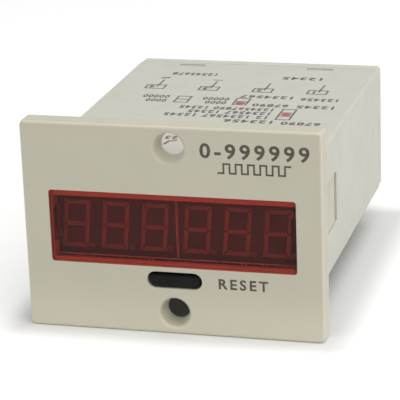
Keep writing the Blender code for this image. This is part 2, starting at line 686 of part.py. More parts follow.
def digit_outlines(cx, grow):
    """The seven mitred segments and the decimal point of one slanted digit, about the module's middle."""
    drop = (MODULE_BROW - MODULE_SILL) / 2
    x = DIGIT_WIDTH / 2
    z = DIGIT_HEIGHT / 2
    half = SEGMENT_WIDTH / 2
    split = SEGMENT_SPLIT
    end = x - split
    across = [(end, z), (-end, z), (2 * half - end, z - 2 * half), (end - 2 * half, z - 2 * half)]
    middle = [(end - half, 0), (end - 2 * half, half), (2 * half - end, half),
              (half - end, 0), (2 * half - end, -half), (end - 2 * half, -half)]
    up = [(x, split), (x, z - split), (x - 2 * half, z - 2 * half - split),
          (x - 2 * half, half + split), (x - half, split)]
    outlines = [middle, across, mirrored(across, 1, -1)]
    outlines += [mirrored(up, sx, sz) for sx in (1, -1) for sz in (1, -1)]
    outlines = [grown(outline, grow) for outline in outlines]
    point_x = DIGIT_WIDTH / 2 + POINT_REACH
    point_z = POINT_RADIUS - DIGIT_HEIGHT / 2
    outlines.append(circle(POINT_RADIUS + grow, POINT_TURN, point_x, point_z))
    lean = math.tan(DIGIT_SLANT)
    return [[(cx + px + pz * lean, pz - drop) for px, pz in outline] for outline in outlines]


def module_outlines(grow):
    outlines = []
    for digit_x in row(DIGITS_PER_MODULE, DIGIT_PITCH):
        outlines += digit_outlines(digit_x - DIGITS_LEFT, grow)
    return outlines


def build_module(frame, side, face_material, segment_material):
    """A black reflector case with an opening for each segment, and the filling that shows through."""
    hand = "right" if side > 0 else "left"
    place = (side * (MODULE_WIDTH + MODULE_SPACE) / 2, MODULE_SETBACK, -MODULE_DROP)
    half_x = MODULE_WIDTH / 2
    half_z = MODULE_HEIGHT / 2

    bm = bmesh.new()
    box(bm, -half_x, half_x, 0, MODULE_DEPTH, -half_z, half_z)
    case = solid(f"led_module_{hand}", bm, face_material, frame, place)

    hollow_x = half_x - MODULE_WALL
    hollow_z = half_z - MODULE_WALL
    bm = bmesh.new()
    box(bm, -hollow_x, hollow_x, MODULE_FACE, MODULE_DEPTH + UNION_LAP, -hollow_z, hollow_z)
    cut(case, guide(f"hollow_cut_{hand}", bm, frame, place))

    bm = bmesh.new()
    for outline in module_outlines(SEGMENT_GAP):
        prism(bm, outline, -UNION_LAP, MODULE_FACE + UNION_LAP)
    cut(case, guide(f"segment_cut_{hand}", bm, frame, place))

    bm = bmesh.new()
    fill_x = hollow_x - SEGMENT_GAP
    fill_z = hollow_z - SEGMENT_GAP
    box(bm, -fill_x, fill_x, MODULE_FACE + SEGMENT_GAP, MODULE_DEPTH, -fill_z, fill_z)
    filling = solid(f"led_segments_{hand}", bm, segment_material, frame, place)

    bm = bmesh.new()
    for outline in module_outlines(0.0):
        prism(bm, outline, 0, MODULE_FACE + UNION_LAP)
    join(filling, guide(f"segment_join_{hand}", bm, frame, place))


def build_display_board(frame, material):
    place = (0, DISPLAY_BOARD_FRONT, 0)
    bm = bmesh.new()
    box(bm, -DISPLAY_BOARD_X, DISPLAY_BOARD_X, 0, BOARD_THICK, -DISPLAY_BOARD_Z, DISPLAY_BOARD_Z)
    board = solid("display_board", bm, material, frame, place)

    hole = SCREW_RADIUS + BORE_GAP
    through = (-UNION_LAP, BOARD_THICK + UNION_LAP)
    pin_hole = HEADER_HOLE / 2
    bm = bmesh.new()
    for centre in post_places():
        turned(bm, [(hole, y) for y in through], SMALL_TURN, centre)
    for pin_x in row(HEADER_PINS, LEG_PITCH):
        box(bm, pin_x - pin_hole, pin_x + pin_hole, *through, HEADER_Z - pin_hole, HEADER_Z + pin_hole)
    cut(board, guide("display_board_holes_cut", bm, frame, place))


def build_driver(frame, material):
    """The chip on the rear of the display board."""
    front = DISPLAY_BOARD_REAR + FIT_GAP
    rings = []
    for inset, y in ((CHIP_DRAFT, 0), (0.0, DRIVER_THICK / 2), (CHIP_DRAFT, DRIVER_THICK)):
        x = DRIVER_LENGTH / 2 - inset
        z = DRIVER_WIDTH / 2 - inset
        rings.append(along_y(rectangle(-x, x, -z, z), front + y))
    bm = bmesh.new()
    loft(bm, rings)
    solid("display_driver", bm, material, frame, (0, 0, DRIVER_RISE))


def build_screw(name, frame, material, place, sizes, steps, turn):
    """A round-headed screw with a straight slot; it points along -Y from the underside of its head."""
    shank_radius, length, head_radius, head_height = sizes
    rim = head_height * HEAD_RIM_SHARE
    profile = [(shank_radius * SCREW_TIP_SHARE, -length), (shank_radius, shank_radius - length),
               (shank_radius, 0.0), (head_radius, 0.0), (head_radius, rim)]
    for degrees in (30.0, 60.0, 90.0):
        angle = math.radians(degrees)
        radius = head_radius * (1 - (1 - HEAD_CROWN_SHARE) * (1 - math.cos(angle)))
        profile.append((radius, rim + (head_height - rim) * math.sin(angle)))
    bm = bmesh.new()
    turned(bm, profile, steps)
    screw = solid(name, bm, material, frame, place)
    screw.rotation_euler = (0, turn, 0)

    half_slot = head_radius * HEAD_SLOT_SHARE / 2
    bm = bmesh.new()
    box(bm, -2 * head_radius, 2 * head_radius, rim, 2 * head_height, -half_slot, half_slot)
    slot = guide(f"{name}_slot_cut", bm, frame, place)
    slot.rotation_euler = (0, turn, 0)
    cut(screw, slot)
    smooth(screw)


def build_board_screws(frame, material):
    under_head = DISPLAY_BOARD_REAR + FIT_GAP
    length = under_head - PILOT_FLOOR - SCREW_TIP_ROOM
    sizes = (SCREW_RADIUS, length, SCREW_HEAD_RADIUS, SCREW_HEAD_HEIGHT)
    for number, (post_x, post_z) in enumerate(post_places(), start=1):
        place = (post_x, under_head, post_z)
        build_screw(f"board_screw_{number}", frame, material, place, sizes, SMALL_TURN, 0.6 * number)


# Reset button and switch

def build_reset(axis, button_material, plunger_material):
    """The button in the bezel's slot, and the switch plunger that it pushes."""
    width = SLOT_WIDTH - 2 * SLIDE_GAP
    height = SLOT_HEIGHT - 2 * SLIDE_GAP
    rim = stadium(width + 2 * BUTTON_RIM, height + 2 * BUTTON_RIM)
    rim_front = SEAT_FACE + FIT_GAP
    rim_rear = rim_front + BUTTON_FLANGE
    rings = []
    for inset, depth in fillet(BUTTON_EDGE):
        rings.append(along_y(stadium(width - 2 * inset, height - 2 * inset), BUTTON_RECESS + depth))
    rings.append(along_y(stadium(width, height), rim_front))
    rings.append(along_y(rim, rim_front))
    rings.append(along_y(rim, rim_rear))
    bm = bmesh.new()
    loft(bm, rings)
    button = solid("reset_button", bm, button_material, axis)
    stem = [(BUTTON_STEM_RADIUS, rim_rear - UNION_LAP), (BUTTON_STEM_RADIUS, PLUNGER_FRONT - FIT_GAP)]
    bm = bmesh.new()
    turned(bm, stem, SMALL_TURN)
    join(button, guide("button_stem_join", bm, axis))
    smooth(button)

    bm = bmesh.new()
    turned(bm, [(PLUNGER_RADIUS - PLUNGER_EDGE, PLUNGER_FRONT), (PLUNGER_RADIUS, PLUNGER_FRONT + PLUNGER_EDGE),
                (PLUNGER_RADIUS, PLUNGER_REAR)], SMALL_TURN)
    smooth(solid("switch_plunger", bm, plunger_material, axis))


def build_switch(axis, body_material, plate_material):
    """The push switch on the display board: a body and the metal cover over its front."""
    half_x = SWITCH_WIDTH / 2
    half_z = SWITCH_HEIGHT / 2
    bore = PLUNGER_RADIUS + BORE_GAP
    bm = bmesh.new()
    box(bm, -half_x, half_x, SWITCH_FRONT, SWITCH_REAR, -half_z, half_z)
    body = solid("switch_body", bm, body_material, axis)
    bore_end = PLUNGER_REAR + BUTTON_TRAVEL + BORE_GAP
    bm = bmesh.new()
    turned(bm, [(bore, SWITCH_FRONT - UNION_LAP), (bore, bore_end)], SMALL_TURN)
    cut(body, guide("switch_bore_cut", bm, axis))

    bm = bmesh.new()
    box(bm, -half_x, half_x, SWITCH_PLATE_FRONT, SWITCH_PLATE_REAR, -half_z, half_z)
    plate = solid("switch_cover", bm, plate_material, axis)
    bm = bmesh.new()
    turned(bm, [(bore, SWITCH_PLATE_FRONT - UNION_LAP), (bore, SWITCH_FRONT)], SMALL_TURN)
    cut(plate, guide("switch_cover_hole_cut", bm, axis))


# Housing

def build_housing(frame, material):
    """A tube open at both ends, with latch windows, snap slots and rails for the main board."""
    step = 2 * MOUTH_STEP
    mouth = rounded_rect(HOUSING_WIDTH - step, HOUSING_HEIGHT - step, HOUSING_CORNER - MOUTH_STEP)
    body = rounded_rect(HOUSING_WIDTH, HOUSING_HEIGHT, HOUSING_CORNER)
    shoulder = BEZEL_THICK + FIT_GAP
    bm = bmesh.new()
    loft(bm, [along_y(mouth, HOUSING_START), along_y(mouth, shoulder),
              along_y(body, shoulder), along_y(body, HOUSING_END)])
    housing = solid("housing", bm, material, frame)

    bm = bmesh.new()
    outline = rounded_rect(2 * INNER_X, 2 * INNER_Z, HOUSING_CORNER / 2)
    prism(bm, outline, HOUSING_START - UNION_LAP, HOUSING_END + UNION_LAP)
    cut(housing, guide("housing_hollow_cut", bm, frame))

    bm = bmesh.new()
    for side in (1, -1):
        x0, x1 = sorted((side * (INNER_X - UNION_LAP), side * (HOUSING_WIDTH / 2 + UNION_LAP)))
        box(bm, x0, x1, LATCH_WINDOW_START, LATCH_WINDOW_END, LATCH_LOW, LATCH_HIGH)
    cut(housing, guide("latch_windows_cut", bm, frame))

    bm = bmesh.new()
    for side in (1, -1):
        z0, z1 = sorted((side * (INNER_Z - UNION_LAP), side * (HOUSING_HEIGHT / 2 + UNION_LAP)))
        for snap_x in (-SNAP_X, SNAP_X):
            x0 = snap_x - SNAP_WIDTH / 2
            box(bm, x0, x0 + SNAP_WIDTH, SNAP_SLOT_START, SNAP_SLOT_END, z0, z1)
    cut(housing, guide("snap_slots_cut", bm, frame))

    above = MAIN_BOARD_Z + FIT_GAP
    below = MAIN_BOARD_Z - BOARD_THICK - FIT_GAP
    bm = bmesh.new()
    for side in (1, -1):
        x0, x1 = sorted((side * (INNER_X - RAIL_REACH), side * (INNER_X + HOUSING_WALL / 2)))
        box(bm, x0, x1, BOARD_FRONT, BOARD_REAR, above, above + RAIL_THICK)
        box(bm, x0, x1, BOARD_FRONT, BOARD_REAR, below - RAIL_THICK, below)
    join(housing, guide("rails_join", bm, frame))


# Rear cover

def build_rear_cover(frame, material):
    """A rimmed cap with a window for the terminal block and a plug that snaps into the housing."""
    rings = []
    for inset, depth in fillet(COVER_FILLET):
        outline = rounded_rect(HOUSING_WIDTH - 2 * inset, HOUSING_HEIGHT - 2 * inset, COVER_CORNER - inset)
        rings.append(along_y(outline, TOTAL_DEPTH - depth))
    rings.append(along_y(rounded_rect(HOUSING_WIDTH, HOUSING_HEIGHT, COVER_CORNER), RIM_FRONT))
    bm = bmesh.new()
    loft(bm, rings)
    cover = solid("rear_cover", bm, material, frame)

    plug_x = INNER_X - FIT_GAP
    plug_z = INNER_Z - FIT_GAP
    bm = bmesh.new()
    prism(bm, rounded_rect(2 * plug_x, 2 * plug_z, HOUSING_CORNER / 2), PLUG_FRONT, RIM_FRONT + UNION_LAP)
    join(cover, guide("cover_plug_join", bm, frame))

    hollow_x = plug_x - PLUG_WALL
    hollow_z = plug_z - PLUG_WALL
    bm = bmesh.new()
    box(bm, -hollow_x, hollow_x, PLUG_FRONT - UNION_LAP, TOTAL_DEPTH - COVER_WALL, -hollow_z, hollow_z)
    cut(cover, guide("cover_hollow_cut", bm, frame))

    window_x = BLOCK_X + FIT_GAP
    bm = bmesh.new()
    box(bm, -window_x, window_x, TOTAL_DEPTH - COVER_WALL - UNION_LAP, TOTAL_DEPTH + UNION_LAP,
        BLOCK_LOW - FIT_GAP, BLOCK_HIGH + FIT_GAP)
    cut(cover, guide("cover_window_cut", bm, frame))

    half_width = SNAP_WIDTH / 2 - FIT_GAP
    hook_front = SNAP_SLOT_START + FIT_GAP
    hook_rear = SNAP_SLOT_END - FIT_GAP
    top = HOUSING_HEIGHT / 2 - SNAP_SINK
    root = plug_z - PLUG_WALL / 2
    hook = [(hook_front, root), (hook_rear, root), (hook_rear, top),
            (hook_front + SNAP_SLOPE, top), (hook_front, plug_z + FIT_GAP)]
    bm = bmesh.new()
    for side in (1, -1):
        for snap_x in (-SNAP_X, SNAP_X):
            side_prism(bm, [(y, side * z) for y, z in hook], snap_x - half_width, snap_x + half_width)
    join(cover, guide("snap_hooks_join", bm, frame))
    smooth(cover)


# Terminals

def build_terminal_block(frame, material):
    """The moulding in the cover's window, with a deep pocket for each terminal."""
    bm = bmesh.new()
    box(bm, -BLOCK_X, BLOCK_X, BLOCK_FRONT, TOTAL_DEPTH, BLOCK_LOW, BLOCK_HIGH)
    block = solid("terminal_block", bm, material, frame)

    flange_x = BLOCK_X - UNION_LAP
    flange_rear = TOTAL_DEPTH - COVER_WALL - FIT_GAP
    bm = bmesh.new()
    box(bm, -flange_x, flange_x, flange_rear - BLOCK_FLANGE_THICK, flange_rear,
        BLOCK_LOW - BLOCK_FLANGE, BLOCK_HIGH + BLOCK_FLANGE)
    join(block, guide("block_flange_join", bm, frame))

    half_pocket = POCKET_WIDTH / 2
    bm = bmesh.new()
    for x in row(TERMINALS, TERMINAL_PITCH):
        box(bm, x - half_pocket, x + half_pocket, POCKET_FLOOR, TOTAL_DEPTH + UNION_LAP, POCKET_LOW, POCKET_HIGH)
    cut(block, guide("pockets_cut", bm, frame))

    floor = (BLOCK_FRONT - UNION_LAP, POCKET_FLOOR + UNION_LAP)
    half_tail = TAIL_WIDTH / 2 + FIT_GAP
    tail_top = POCKET_LOW + 2 * FIT_GAP + PLATE_THICK
    bore = TERMINAL_SCREW_RADIUS + BORE_GAP
    bm = bmesh.new()
    for x in row(TERMINALS, TERMINAL_PITCH):
        box(bm, x - half_tail, x + half_tail, *floor, POCKET_LOW, tail_top)
        turned(bm, [(bore, y) for y in floor], SMALL_TURN, (x, TERMINAL_Z))
    cut(block, guide("pocket_floor_cuts", bm, frame))


def plate_solid(bm, front, rear):
    """A stamped plate that narrows to its tail below and has clipped corners above."""
    half = PLATE_WIDTH / 2
    shoulder = WASHER_SIDE / 2 + FIT_GAP
    levels = [(TAIL_WIDTH / 2 + PLATE_CLIP, POCKET_LOW + FIT_GAP), (half, TERMINAL_Z - shoulder),
              (half, TERMINAL_Z + shoulder), (half - PLATE_CLIP, POCKET_HIGH - FIT_GAP)]
    loft(bm, [[(-x, front, z), (x, front, z), (x, rear, z), (-x, rear, z)] for x, z in levels])


def build_terminals(frame, plate_material, screw_material, washer_material):
    plate_front = POCKET_FLOOR + FIT_GAP
    plate_rear = plate_front + PLATE_THICK
    washer_front = plate_rear + FIT_GAP
    washer_rear = washer_front + WASHER_THICK
    under_head = washer_rear + FIT_GAP
    low = POCKET_LOW + FIT_GAP
    tail = TAIL_WIDTH / 2
    side = WASHER_SIDE / 2
    bore = TERMINAL_SCREW_RADIUS + BORE_GAP
    sizes = (TERMINAL_SCREW_RADIUS, TERMINAL_SCREW_LENGTH, TERMINAL_HEAD_RADIUS, TERMINAL_HEAD_HEIGHT)
    for number, x in enumerate(row(TERMINALS, TERMINAL_PITCH), start=1):
        bm = bmesh.new()
        plate_solid(bm, plate_front, plate_rear)
        plate = solid(f"terminal_plate_{number}", bm, plate_material, frame, (x, 0, 0))
        bm = bmesh.new()
        box(bm, -tail, tail, TAIL_FRONT, (plate_front + plate_rear) / 2, low, low + PLATE_THICK)
        join(plate, guide(f"tail_join_{number}", bm, frame, (x, 0, 0)))
        bm = bmesh.new()
        turned(bm, [(bore, plate_front - UNION_LAP), (bore, plate_rear + UNION_LAP)], SMALL_TURN)
        cut(plate, guide(f"plate_hole_cut_{number}", bm, frame, (x, 0, TERMINAL_Z)))

        bm = bmesh.new()
        box(bm, -side, side, washer_front, washer_rear, -side, side)
        washer = solid(f"clamp_washer_{number}", bm, washer_material, frame, (x, 0, TERMINAL_Z))
        bm = bmesh.new()
        turned(bm, [(bore, washer_front - UNION_LAP), (bore, washer_rear + UNION_LAP)], SMALL_TURN)
        cut(washer, guide(f"washer_hole_cut_{number}", bm, frame, (x, 0, TERMINAL_Z)))

        place = (x, under_head, TERMINAL_Z)
        build_screw(f"terminal_screw_{number}", frame, screw_material, place, sizes, TURN, 0.8 + 0.5 * number)


# Main board and the parts on it

def board_place(x, y):
    return (x, BOARD_FRONT + y, PART_Z)


def build_main_board(frame, material):
    half = INNER_X - FIT_GAP
    bm = bmesh.new()
    box(bm, -half, half, BOARD_FRONT, BOARD_REAR, MAIN_BOARD_Z - BOARD_THICK, MAIN_BOARD_Z)
    solid("main_board", bm, material, frame)


def build_header(frame, material):
    """The pin strip that joins the main board to the display board."""
    front = BOARD_FRONT + FIT_GAP
    half_strip = HEADER_PINS * LEG_PITCH / 2
    half_pin = HEADER_PIN / 2
    bm = bmesh.new()
    box(bm, -half_strip, half_strip, front, front + HEADER_STRIP, PART_Z, PART_Z + HEADER_STRIP)
    strip = solid("board_header", bm, material, frame)
    bm = bmesh.new()
    for pin_x in row(HEADER_PINS, LEG_PITCH):
        box(bm, pin_x - half_pin, pin_x + half_pin, DISPLAY_BOARD_FRONT + FIT_GAP, front + UNION_LAP,
            HEADER_Z - half_pin, HEADER_Z + half_pin)
    join(strip, guide("header_pins_join", bm, frame))


def build_transformer(frame, core_material, bobbin_material, winding_material):
    """A laminated core with two windows, a bobbin round its middle leg and the winding on that."""
    place = board_place(CORE_X, CORE_Y)
    half_stack = CORE_STACK / 2
    leg = CORE_LEG / 2
    window_x = CORE_WIDTH / 2 - CORE_YOKE
    window_low = CORE_STAND + CORE_YOKE
    window_high = CORE_STAND + CORE_HEIGHT - CORE_YOKE

    bm = bmesh.new()
    box(bm, -CORE_WIDTH / 2, CORE_WIDTH / 2, -half_stack, half_stack, CORE_STAND, CORE_STAND + CORE_HEIGHT)
    core = solid("transformer_core", bm, core_material, frame, place)
    bm = bmesh.new()
    for side in (1, -1):
        x0, x1 = sorted((side * leg, side * window_x))
        box(bm, x0, x1, -half_stack - UNION_LAP, half_stack + UNION_LAP, window_low, window_high)
    cut(core, guide("core_windows_cut", bm, frame, place))

    # A tube round the middle leg, a flange at each end of it and two skirts down to the board
    flange_x = window_x - FIT_GAP
    bore_x = leg + FIT_GAP
    bore_y = half_stack + FIT_GAP
    tube_x = bore_x + BOBBIN_WALL
    tube_y = bore_y + BOBBIN_WALL
    low = window_low + FIT_GAP
    high = window_high - FIT_GAP
    bm = bmesh.new()
    box(bm, -tube_x, tube_x, -tube_y, tube_y, low, high)
    bobbin = solid("transformer_bobbin", bm, bobbin_material, frame, place)
    bm = bmesh.new()
    box(bm, -flange_x, flange_x, -BOBBIN_Y, BOBBIN_Y, high - BOBBIN_WALL, high)
    box(bm, -flange_x, flange_x, -BOBBIN_Y, BOBBIN_Y, low, low + BOBBIN_WALL)
    join(bobbin, guide("bobbin_flanges_join", bm, frame, place))
    bm = bmesh.new()
    for side in (1, -1):
        y0, y1 = sorted((side * bore_y, side * BOBBIN_Y))
        box(bm, -flange_x, flange_x, y0, y1, 0, low + BOBBIN_WALL / 2)
    join(bobbin, guide("bobbin_skirts_join", bm, frame, place))
    bm = bmesh.new()
    box(bm, -bore_x, bore_x, -bore_y, bore_y, low - UNION_LAP, high + UNION_LAP)
    cut(bobbin, guide("bobbin_bore_cut", bm, frame, place))

    wound_x = flange_x - WINDING_MARGIN
    wound_y = BOBBIN_Y - WINDING_MARGIN
    wound_low = low + BOBBIN_WALL + FIT_GAP
    wound_high = high - BOBBIN_WALL - FIT_GAP
    inner_x = tube_x + FIT_GAP
    inner_y = tube_y + FIT_GAP
    bm = bmesh.new()
    upright_prism(bm, rounded_rect(2 * wound_x, 2 * wound_y, 2 * WINDING_MARGIN), wound_low, wound_high)
    winding = solid("transformer_winding", bm, winding_material, frame, place)
    bm = bmesh.new()
    box(bm, -inner_x, inner_x, -inner_y, inner_y, wound_low - UNION_LAP, wound_high + UNION_LAP)
    cut(winding, guide("winding_bore_cut", bm, frame, place))
    smooth(winding)


def build_can(name, frame, material, place, radius, height):
    """An electrolytic capacitor with a crimped groove and a rolled, dished top."""
    crown = radius - 2 * CAN_LIP
    profile = [(radius - CAN_LIP, 0.0), (radius, CAN_LIP), (radius, CAN_CRIMP),
               (radius - CAN_GROOVE, CAN_CRIMP + CAN_GROOVE), (radius, CAN_CRIMP + 2 * CAN_GROOVE),
               (radius, height - CAN_LIP), (radius - CAN_LIP, height), (crown, height),
               (crown - CAN_DISH, height - CAN_DISH)]
    bm = bmesh.new()
    upright_turned(bm, profile, TURN)
    smooth(solid(name, bm, material, frame, place))


def build_chip(name, frame, material, place, length, legs):
    """A moulded chip with a row of bent legs along each long side."""
    half_y = CHIP_WIDTH / 2
    waist = CHIP_LIFT + CHIP_HEIGHT / 2
    rings = []
    for inset, z in ((CHIP_DRAFT, CHIP_LIFT), (0.0, waist), (CHIP_DRAFT, CHIP_LIFT + CHIP_HEIGHT)):
        x = length / 2 - inset
        y = half_y - inset
        rings.append([(-x, -y, z), (x, -y, z), (x, y, z), (-x, y, z)])
    bm = bmesh.new()
    loft(bm, rings)
    chip = solid(name, bm, material, frame, place)

    half_leg = LEG_THICK / 2
    knee = half_y + LEG_THICK
    root = half_y - LEG_THICK
    outline = [(root, waist - half_leg), (knee, waist - half_leg), (knee, 0.0),
               (knee + LEG_THICK, 0.0), (knee + LEG_THICK, waist + half_leg), (root, waist + half_leg)]
    bm = bmesh.new()
    for side in (1, -1):
        for x in legs:
            side_prism(bm, [(side * y, z) for y, z in outline], x - LEG_WIDTH / 2, x + LEG_WIDTH / 2)
    join(chip, guide(f"{name}_legs_join", bm, frame, place))


def build_chips(frame, material):
    counter = board_place(COUNTER_X, CHIP_ROW_Y)
    memory = board_place(MEMORY_X, CHIP_ROW_Y)
    coupler = board_place(COUPLER_X, COUPLER_Y)
    rectifier = board_place(RECTIFIER_X, RECTIFIER_Y)
    build_chip("counter_chip", frame, material, counter, COUNTER_LENGTH, row(COUNTER_PINS, LEG_PITCH))
    build_chip("memory_chip", frame, material, memory, MEMORY_LENGTH, row(MEMORY_PINS, LEG_PITCH))
    build_chip("optocoupler", frame, material, coupler, COUPLER_LENGTH, row(COUPLER_PINS, LEG_PITCH))
    build_chip("bridge_rectifier", frame, material, rectifier, RECTIFIER_LENGTH, row(2, RECTIFIER_PITCH))


def build_regulator(frame, material):
    """A three-legged power regulator that stands on its legs, with its metal tab behind."""
    place = board_place(REGULATOR_X, REGULATOR_Y)
    half_x = REGULATOR_WIDTH / 2
    rear = REGULATOR_DEPTH / 2
    low = REGULATOR_LIFT
    top = low + REGULATOR_HEIGHT
    face = rectangle(-half_x + CHIP_DRAFT, half_x - CHIP_DRAFT, low + CHIP_DRAFT, top - CHIP_DRAFT)
    bm = bmesh.new()
    loft(bm, [along_y(face, -rear), along_y(rectangle(-half_x, half_x, low, top), rear)])
    body = solid("voltage_regulator", bm, material, frame, place)

    half_tab = half_x - FIT_GAP
    half_leg = LEG_WIDTH / 2
    bm = bmesh.new()
    box(bm, -half_tab, half_tab, rear - HEAT_TAB_THICK, rear - FIT_GAP / 2, top - UNION_LAP,
        top + HEAT_TAB_HEIGHT)
    for x in row(3, LEG_PITCH):
        box(bm, x - half_leg, x + half_leg, -LEG_THICK, LEG_THICK, 0.0, low + UNION_LAP)
    join(body, guide("regulator_tab_legs_join", bm, frame, place))
    hole = TERMINAL_SCREW_RADIUS + BORE_GAP
    hole_ends = (rear - 2 * HEAT_TAB_THICK, rear + HEAT_TAB_THICK)
    bm = bmesh.new()
    turned(bm, [(hole, y) for y in hole_ends], SMALL_TURN, (0, top + HEAT_TAB_HEIGHT / 2))
    cut(body, guide("regulator_hole_cut", bm, frame, place))


def build_crystal(frame, material):
    """A low metal can with round ends on a thin foot."""
    foot = stadium(CRYSTAL_LENGTH + 2 * CRYSTAL_FOOT, CRYSTAL_WIDTH + 2 * CRYSTAL_FOOT)
    can = stadium(CRYSTAL_LENGTH, CRYSTAL_WIDTH)
    crown = stadium(CRYSTAL_LENGTH - CRYSTAL_FOOT, CRYSTAL_WIDTH - CRYSTAL_FOOT)
    levels = ((foot, 0.0), (foot, CRYSTAL_FOOT), (can, CRYSTAL_FOOT),
              (can, CRYSTAL_HEIGHT - CRYSTAL_FOOT / 2), (crown, CRYSTAL_HEIGHT))
    bm = bmesh.new()
    loft(bm, [[(x, y, z) for x, y in outline] for outline, z in levels])
    smooth(solid("crystal", bm, material, frame, board_place(COUNTER_X, CRYSTAL_Y)))


def main():
    clear_scene()
    frame = placeholder("counter_frame", None, (0, -TOTAL_DEPTH / 2, BEZEL_HEIGHT / 2))
    axis = placeholder("reset_axis", frame, (SLOT_X, 0, -SLOT_DROP))

    bezel_cream = finish("bezel_cream", (0.53, 0.51, 0.41), 0.5)
    case_white = finish("case_white", (0.66, 0.65, 0.59), 0.5)
    window_red = finish("window_red", (0.45, 0.02, 0.02), 0.08, transmission=0.8)
    face_black = finish("face_black", (0.03, 0.028, 0.028), 0.6)
    segment_milk = finish("segment_milk", (0.42, 0.38, 0.36), 0.45)
    button_black = finish("button_black", (0.015, 0.015, 0.014), 0.5)
    board_green = finish("board_green", (0.02, 0.12, 0.05), 0.45)
    chip_black = finish("chip_black", (0.02, 0.02, 0.022), 0.55)
    block_black = finish("block_black", (0.025, 0.024, 0.023), 0.5)
    steel = finish("steel", (0.62, 0.62, 0.60), 0.32, metallic=1.0)
    brass = finish("brass", (0.72, 0.55, 0.25), 0.35, metallic=1.0)
    core_steel = finish("core_steel", (0.25, 0.25, 0.26), 0.5, metallic=1.0)
    winding_tape = finish("winding_tape", (0.62, 0.42, 0.06), 0.4)
    bobbin_nylon = finish("bobbin_nylon", (0.75, 0.72, 0.62), 0.5)
    sleeve_blue = finish("sleeve_blue", (0.02, 0.03, 0.12), 0.35)

    build_bezel(frame, bezel_cream)
    build_lens(frame, window_red)
    for side in (-1, 1):
        build_module(frame, side, face_black, segment_milk)
    build_display_board(frame, board_green)
    build_board_screws(frame, steel)
    build_driver(frame, chip_black)
    build_reset(axis, button_black, chip_black)
    build_switch(axis, chip_black, steel)
    build_housing(frame, case_white)
    build_rear_cover(frame, case_white)
    build_terminal_block(frame, block_black)
    build_terminals(frame, brass, steel, steel)
    build_main_board(frame, board_green)
    build_header(frame, chip_black)
    build_transformer(frame, core_steel, bobbin_nylon, winding_tape)
    build_can("filter_capacitor", frame, sleeve_blue, board_place(CAN_X, CAN_Y), CAN_RADIUS, CAN_HEIGHT)
    build_can("output_capacitor", frame, sleeve_blue, board_place(SMALL_CAN_X, SMALL_CAN_Y),
              SMALL_CAN_RADIUS, SMALL_CAN_HEIGHT)
    build_chips(frame, chip_black)
    build_regulator(frame, chip_black)
    build_crystal(frame, steel)


main()
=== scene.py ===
"""Dresses the solid model of a panel counter: finishes, moulded skins, print and terminal screws."""

import json
import math

import bmesh
import bpy
from mathutils import Matrix, Vector


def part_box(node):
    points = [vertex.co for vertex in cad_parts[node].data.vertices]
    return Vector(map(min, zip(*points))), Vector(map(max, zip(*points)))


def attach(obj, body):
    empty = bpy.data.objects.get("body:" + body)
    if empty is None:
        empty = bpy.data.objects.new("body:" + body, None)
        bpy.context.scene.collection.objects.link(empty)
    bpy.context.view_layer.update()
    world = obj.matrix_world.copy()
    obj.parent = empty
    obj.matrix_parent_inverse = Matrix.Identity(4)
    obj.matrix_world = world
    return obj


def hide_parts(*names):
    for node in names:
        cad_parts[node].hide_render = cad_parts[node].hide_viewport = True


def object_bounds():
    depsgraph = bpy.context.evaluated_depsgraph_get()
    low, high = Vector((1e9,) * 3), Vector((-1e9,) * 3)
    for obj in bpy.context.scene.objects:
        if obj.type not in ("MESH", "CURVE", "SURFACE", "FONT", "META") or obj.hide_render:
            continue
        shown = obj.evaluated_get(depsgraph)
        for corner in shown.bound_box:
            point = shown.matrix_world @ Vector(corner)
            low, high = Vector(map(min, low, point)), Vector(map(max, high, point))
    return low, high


bl_info = {
    "name": "Panel Counter",
    "version": (1, 0, 0),
    "blender": (4, 5, 0),
    "location": "3D View > Sidebar > Counter",
    "description": "Dresses the solid model of a panel counter with its finishes, print and terminal screws",
    "category": "Object",
}

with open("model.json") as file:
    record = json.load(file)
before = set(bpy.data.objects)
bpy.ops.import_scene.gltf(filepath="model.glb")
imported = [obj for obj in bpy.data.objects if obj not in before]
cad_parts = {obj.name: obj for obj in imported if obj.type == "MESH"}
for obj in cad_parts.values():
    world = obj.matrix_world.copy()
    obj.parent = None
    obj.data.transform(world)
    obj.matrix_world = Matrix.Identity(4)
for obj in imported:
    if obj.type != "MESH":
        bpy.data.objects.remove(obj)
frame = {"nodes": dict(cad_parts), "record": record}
CAD_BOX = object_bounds()
SOLIDS = frame["nodes"]

MM = 0.001
FULL_TURN = 2 * math.pi

# The bezel's front face and middle height, the housing's top and the rear face, which carry the print
BEZEL_LOW, BEZEL_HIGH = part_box("front_bezel")
FRONT_Y = BEZEL_LOW.y
MIDDLE_Z = (BEZEL_LOW.z + BEZEL_HIGH.z) / 2
TOP_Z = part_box("housing")[1].z
REAR_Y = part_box("rear_cover")[1].y

# Middles of the terminals in millimetres, in the order of their printed numbers, which read from the rear
TERMINAL_BOXES = [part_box(f"terminal_plate_{place}") for place in (4, 3, 2, 1)]
TERMINAL_XS = [(low.x + high.x) / 2 / MM for low, high in TERMINAL_BOXES]

# Solids that get a smooth skin: name, slot in the record, body, and the angle past which an edge is sharp
SKINS = (
    ("display_window", "window_red", "case", 30.0),
    ("front_bezel", "bezel_cream", "case", 32.0),
    ("housing", "case_white", "case", 32.0),
    ("rear_cover", "case_white", "case", 35.0),
    ("reset_button", "button_black", "reset", 40.0),
    ("switch_plunger", "chip_black", "reset", 50.0),
    ("filter_capacitor", "sleeve_blue", "case", 40.0),
    ("output_capacitor", "sleeve_blue", "case", 40.0),
    ("crystal", "steel", "case", 40.0),
    ("transformer_winding", "winding_tape", "case", 40.0),
    *((f"board_screw_{number}", "steel", "case", 40.0) for number in range(1, 5)),
)

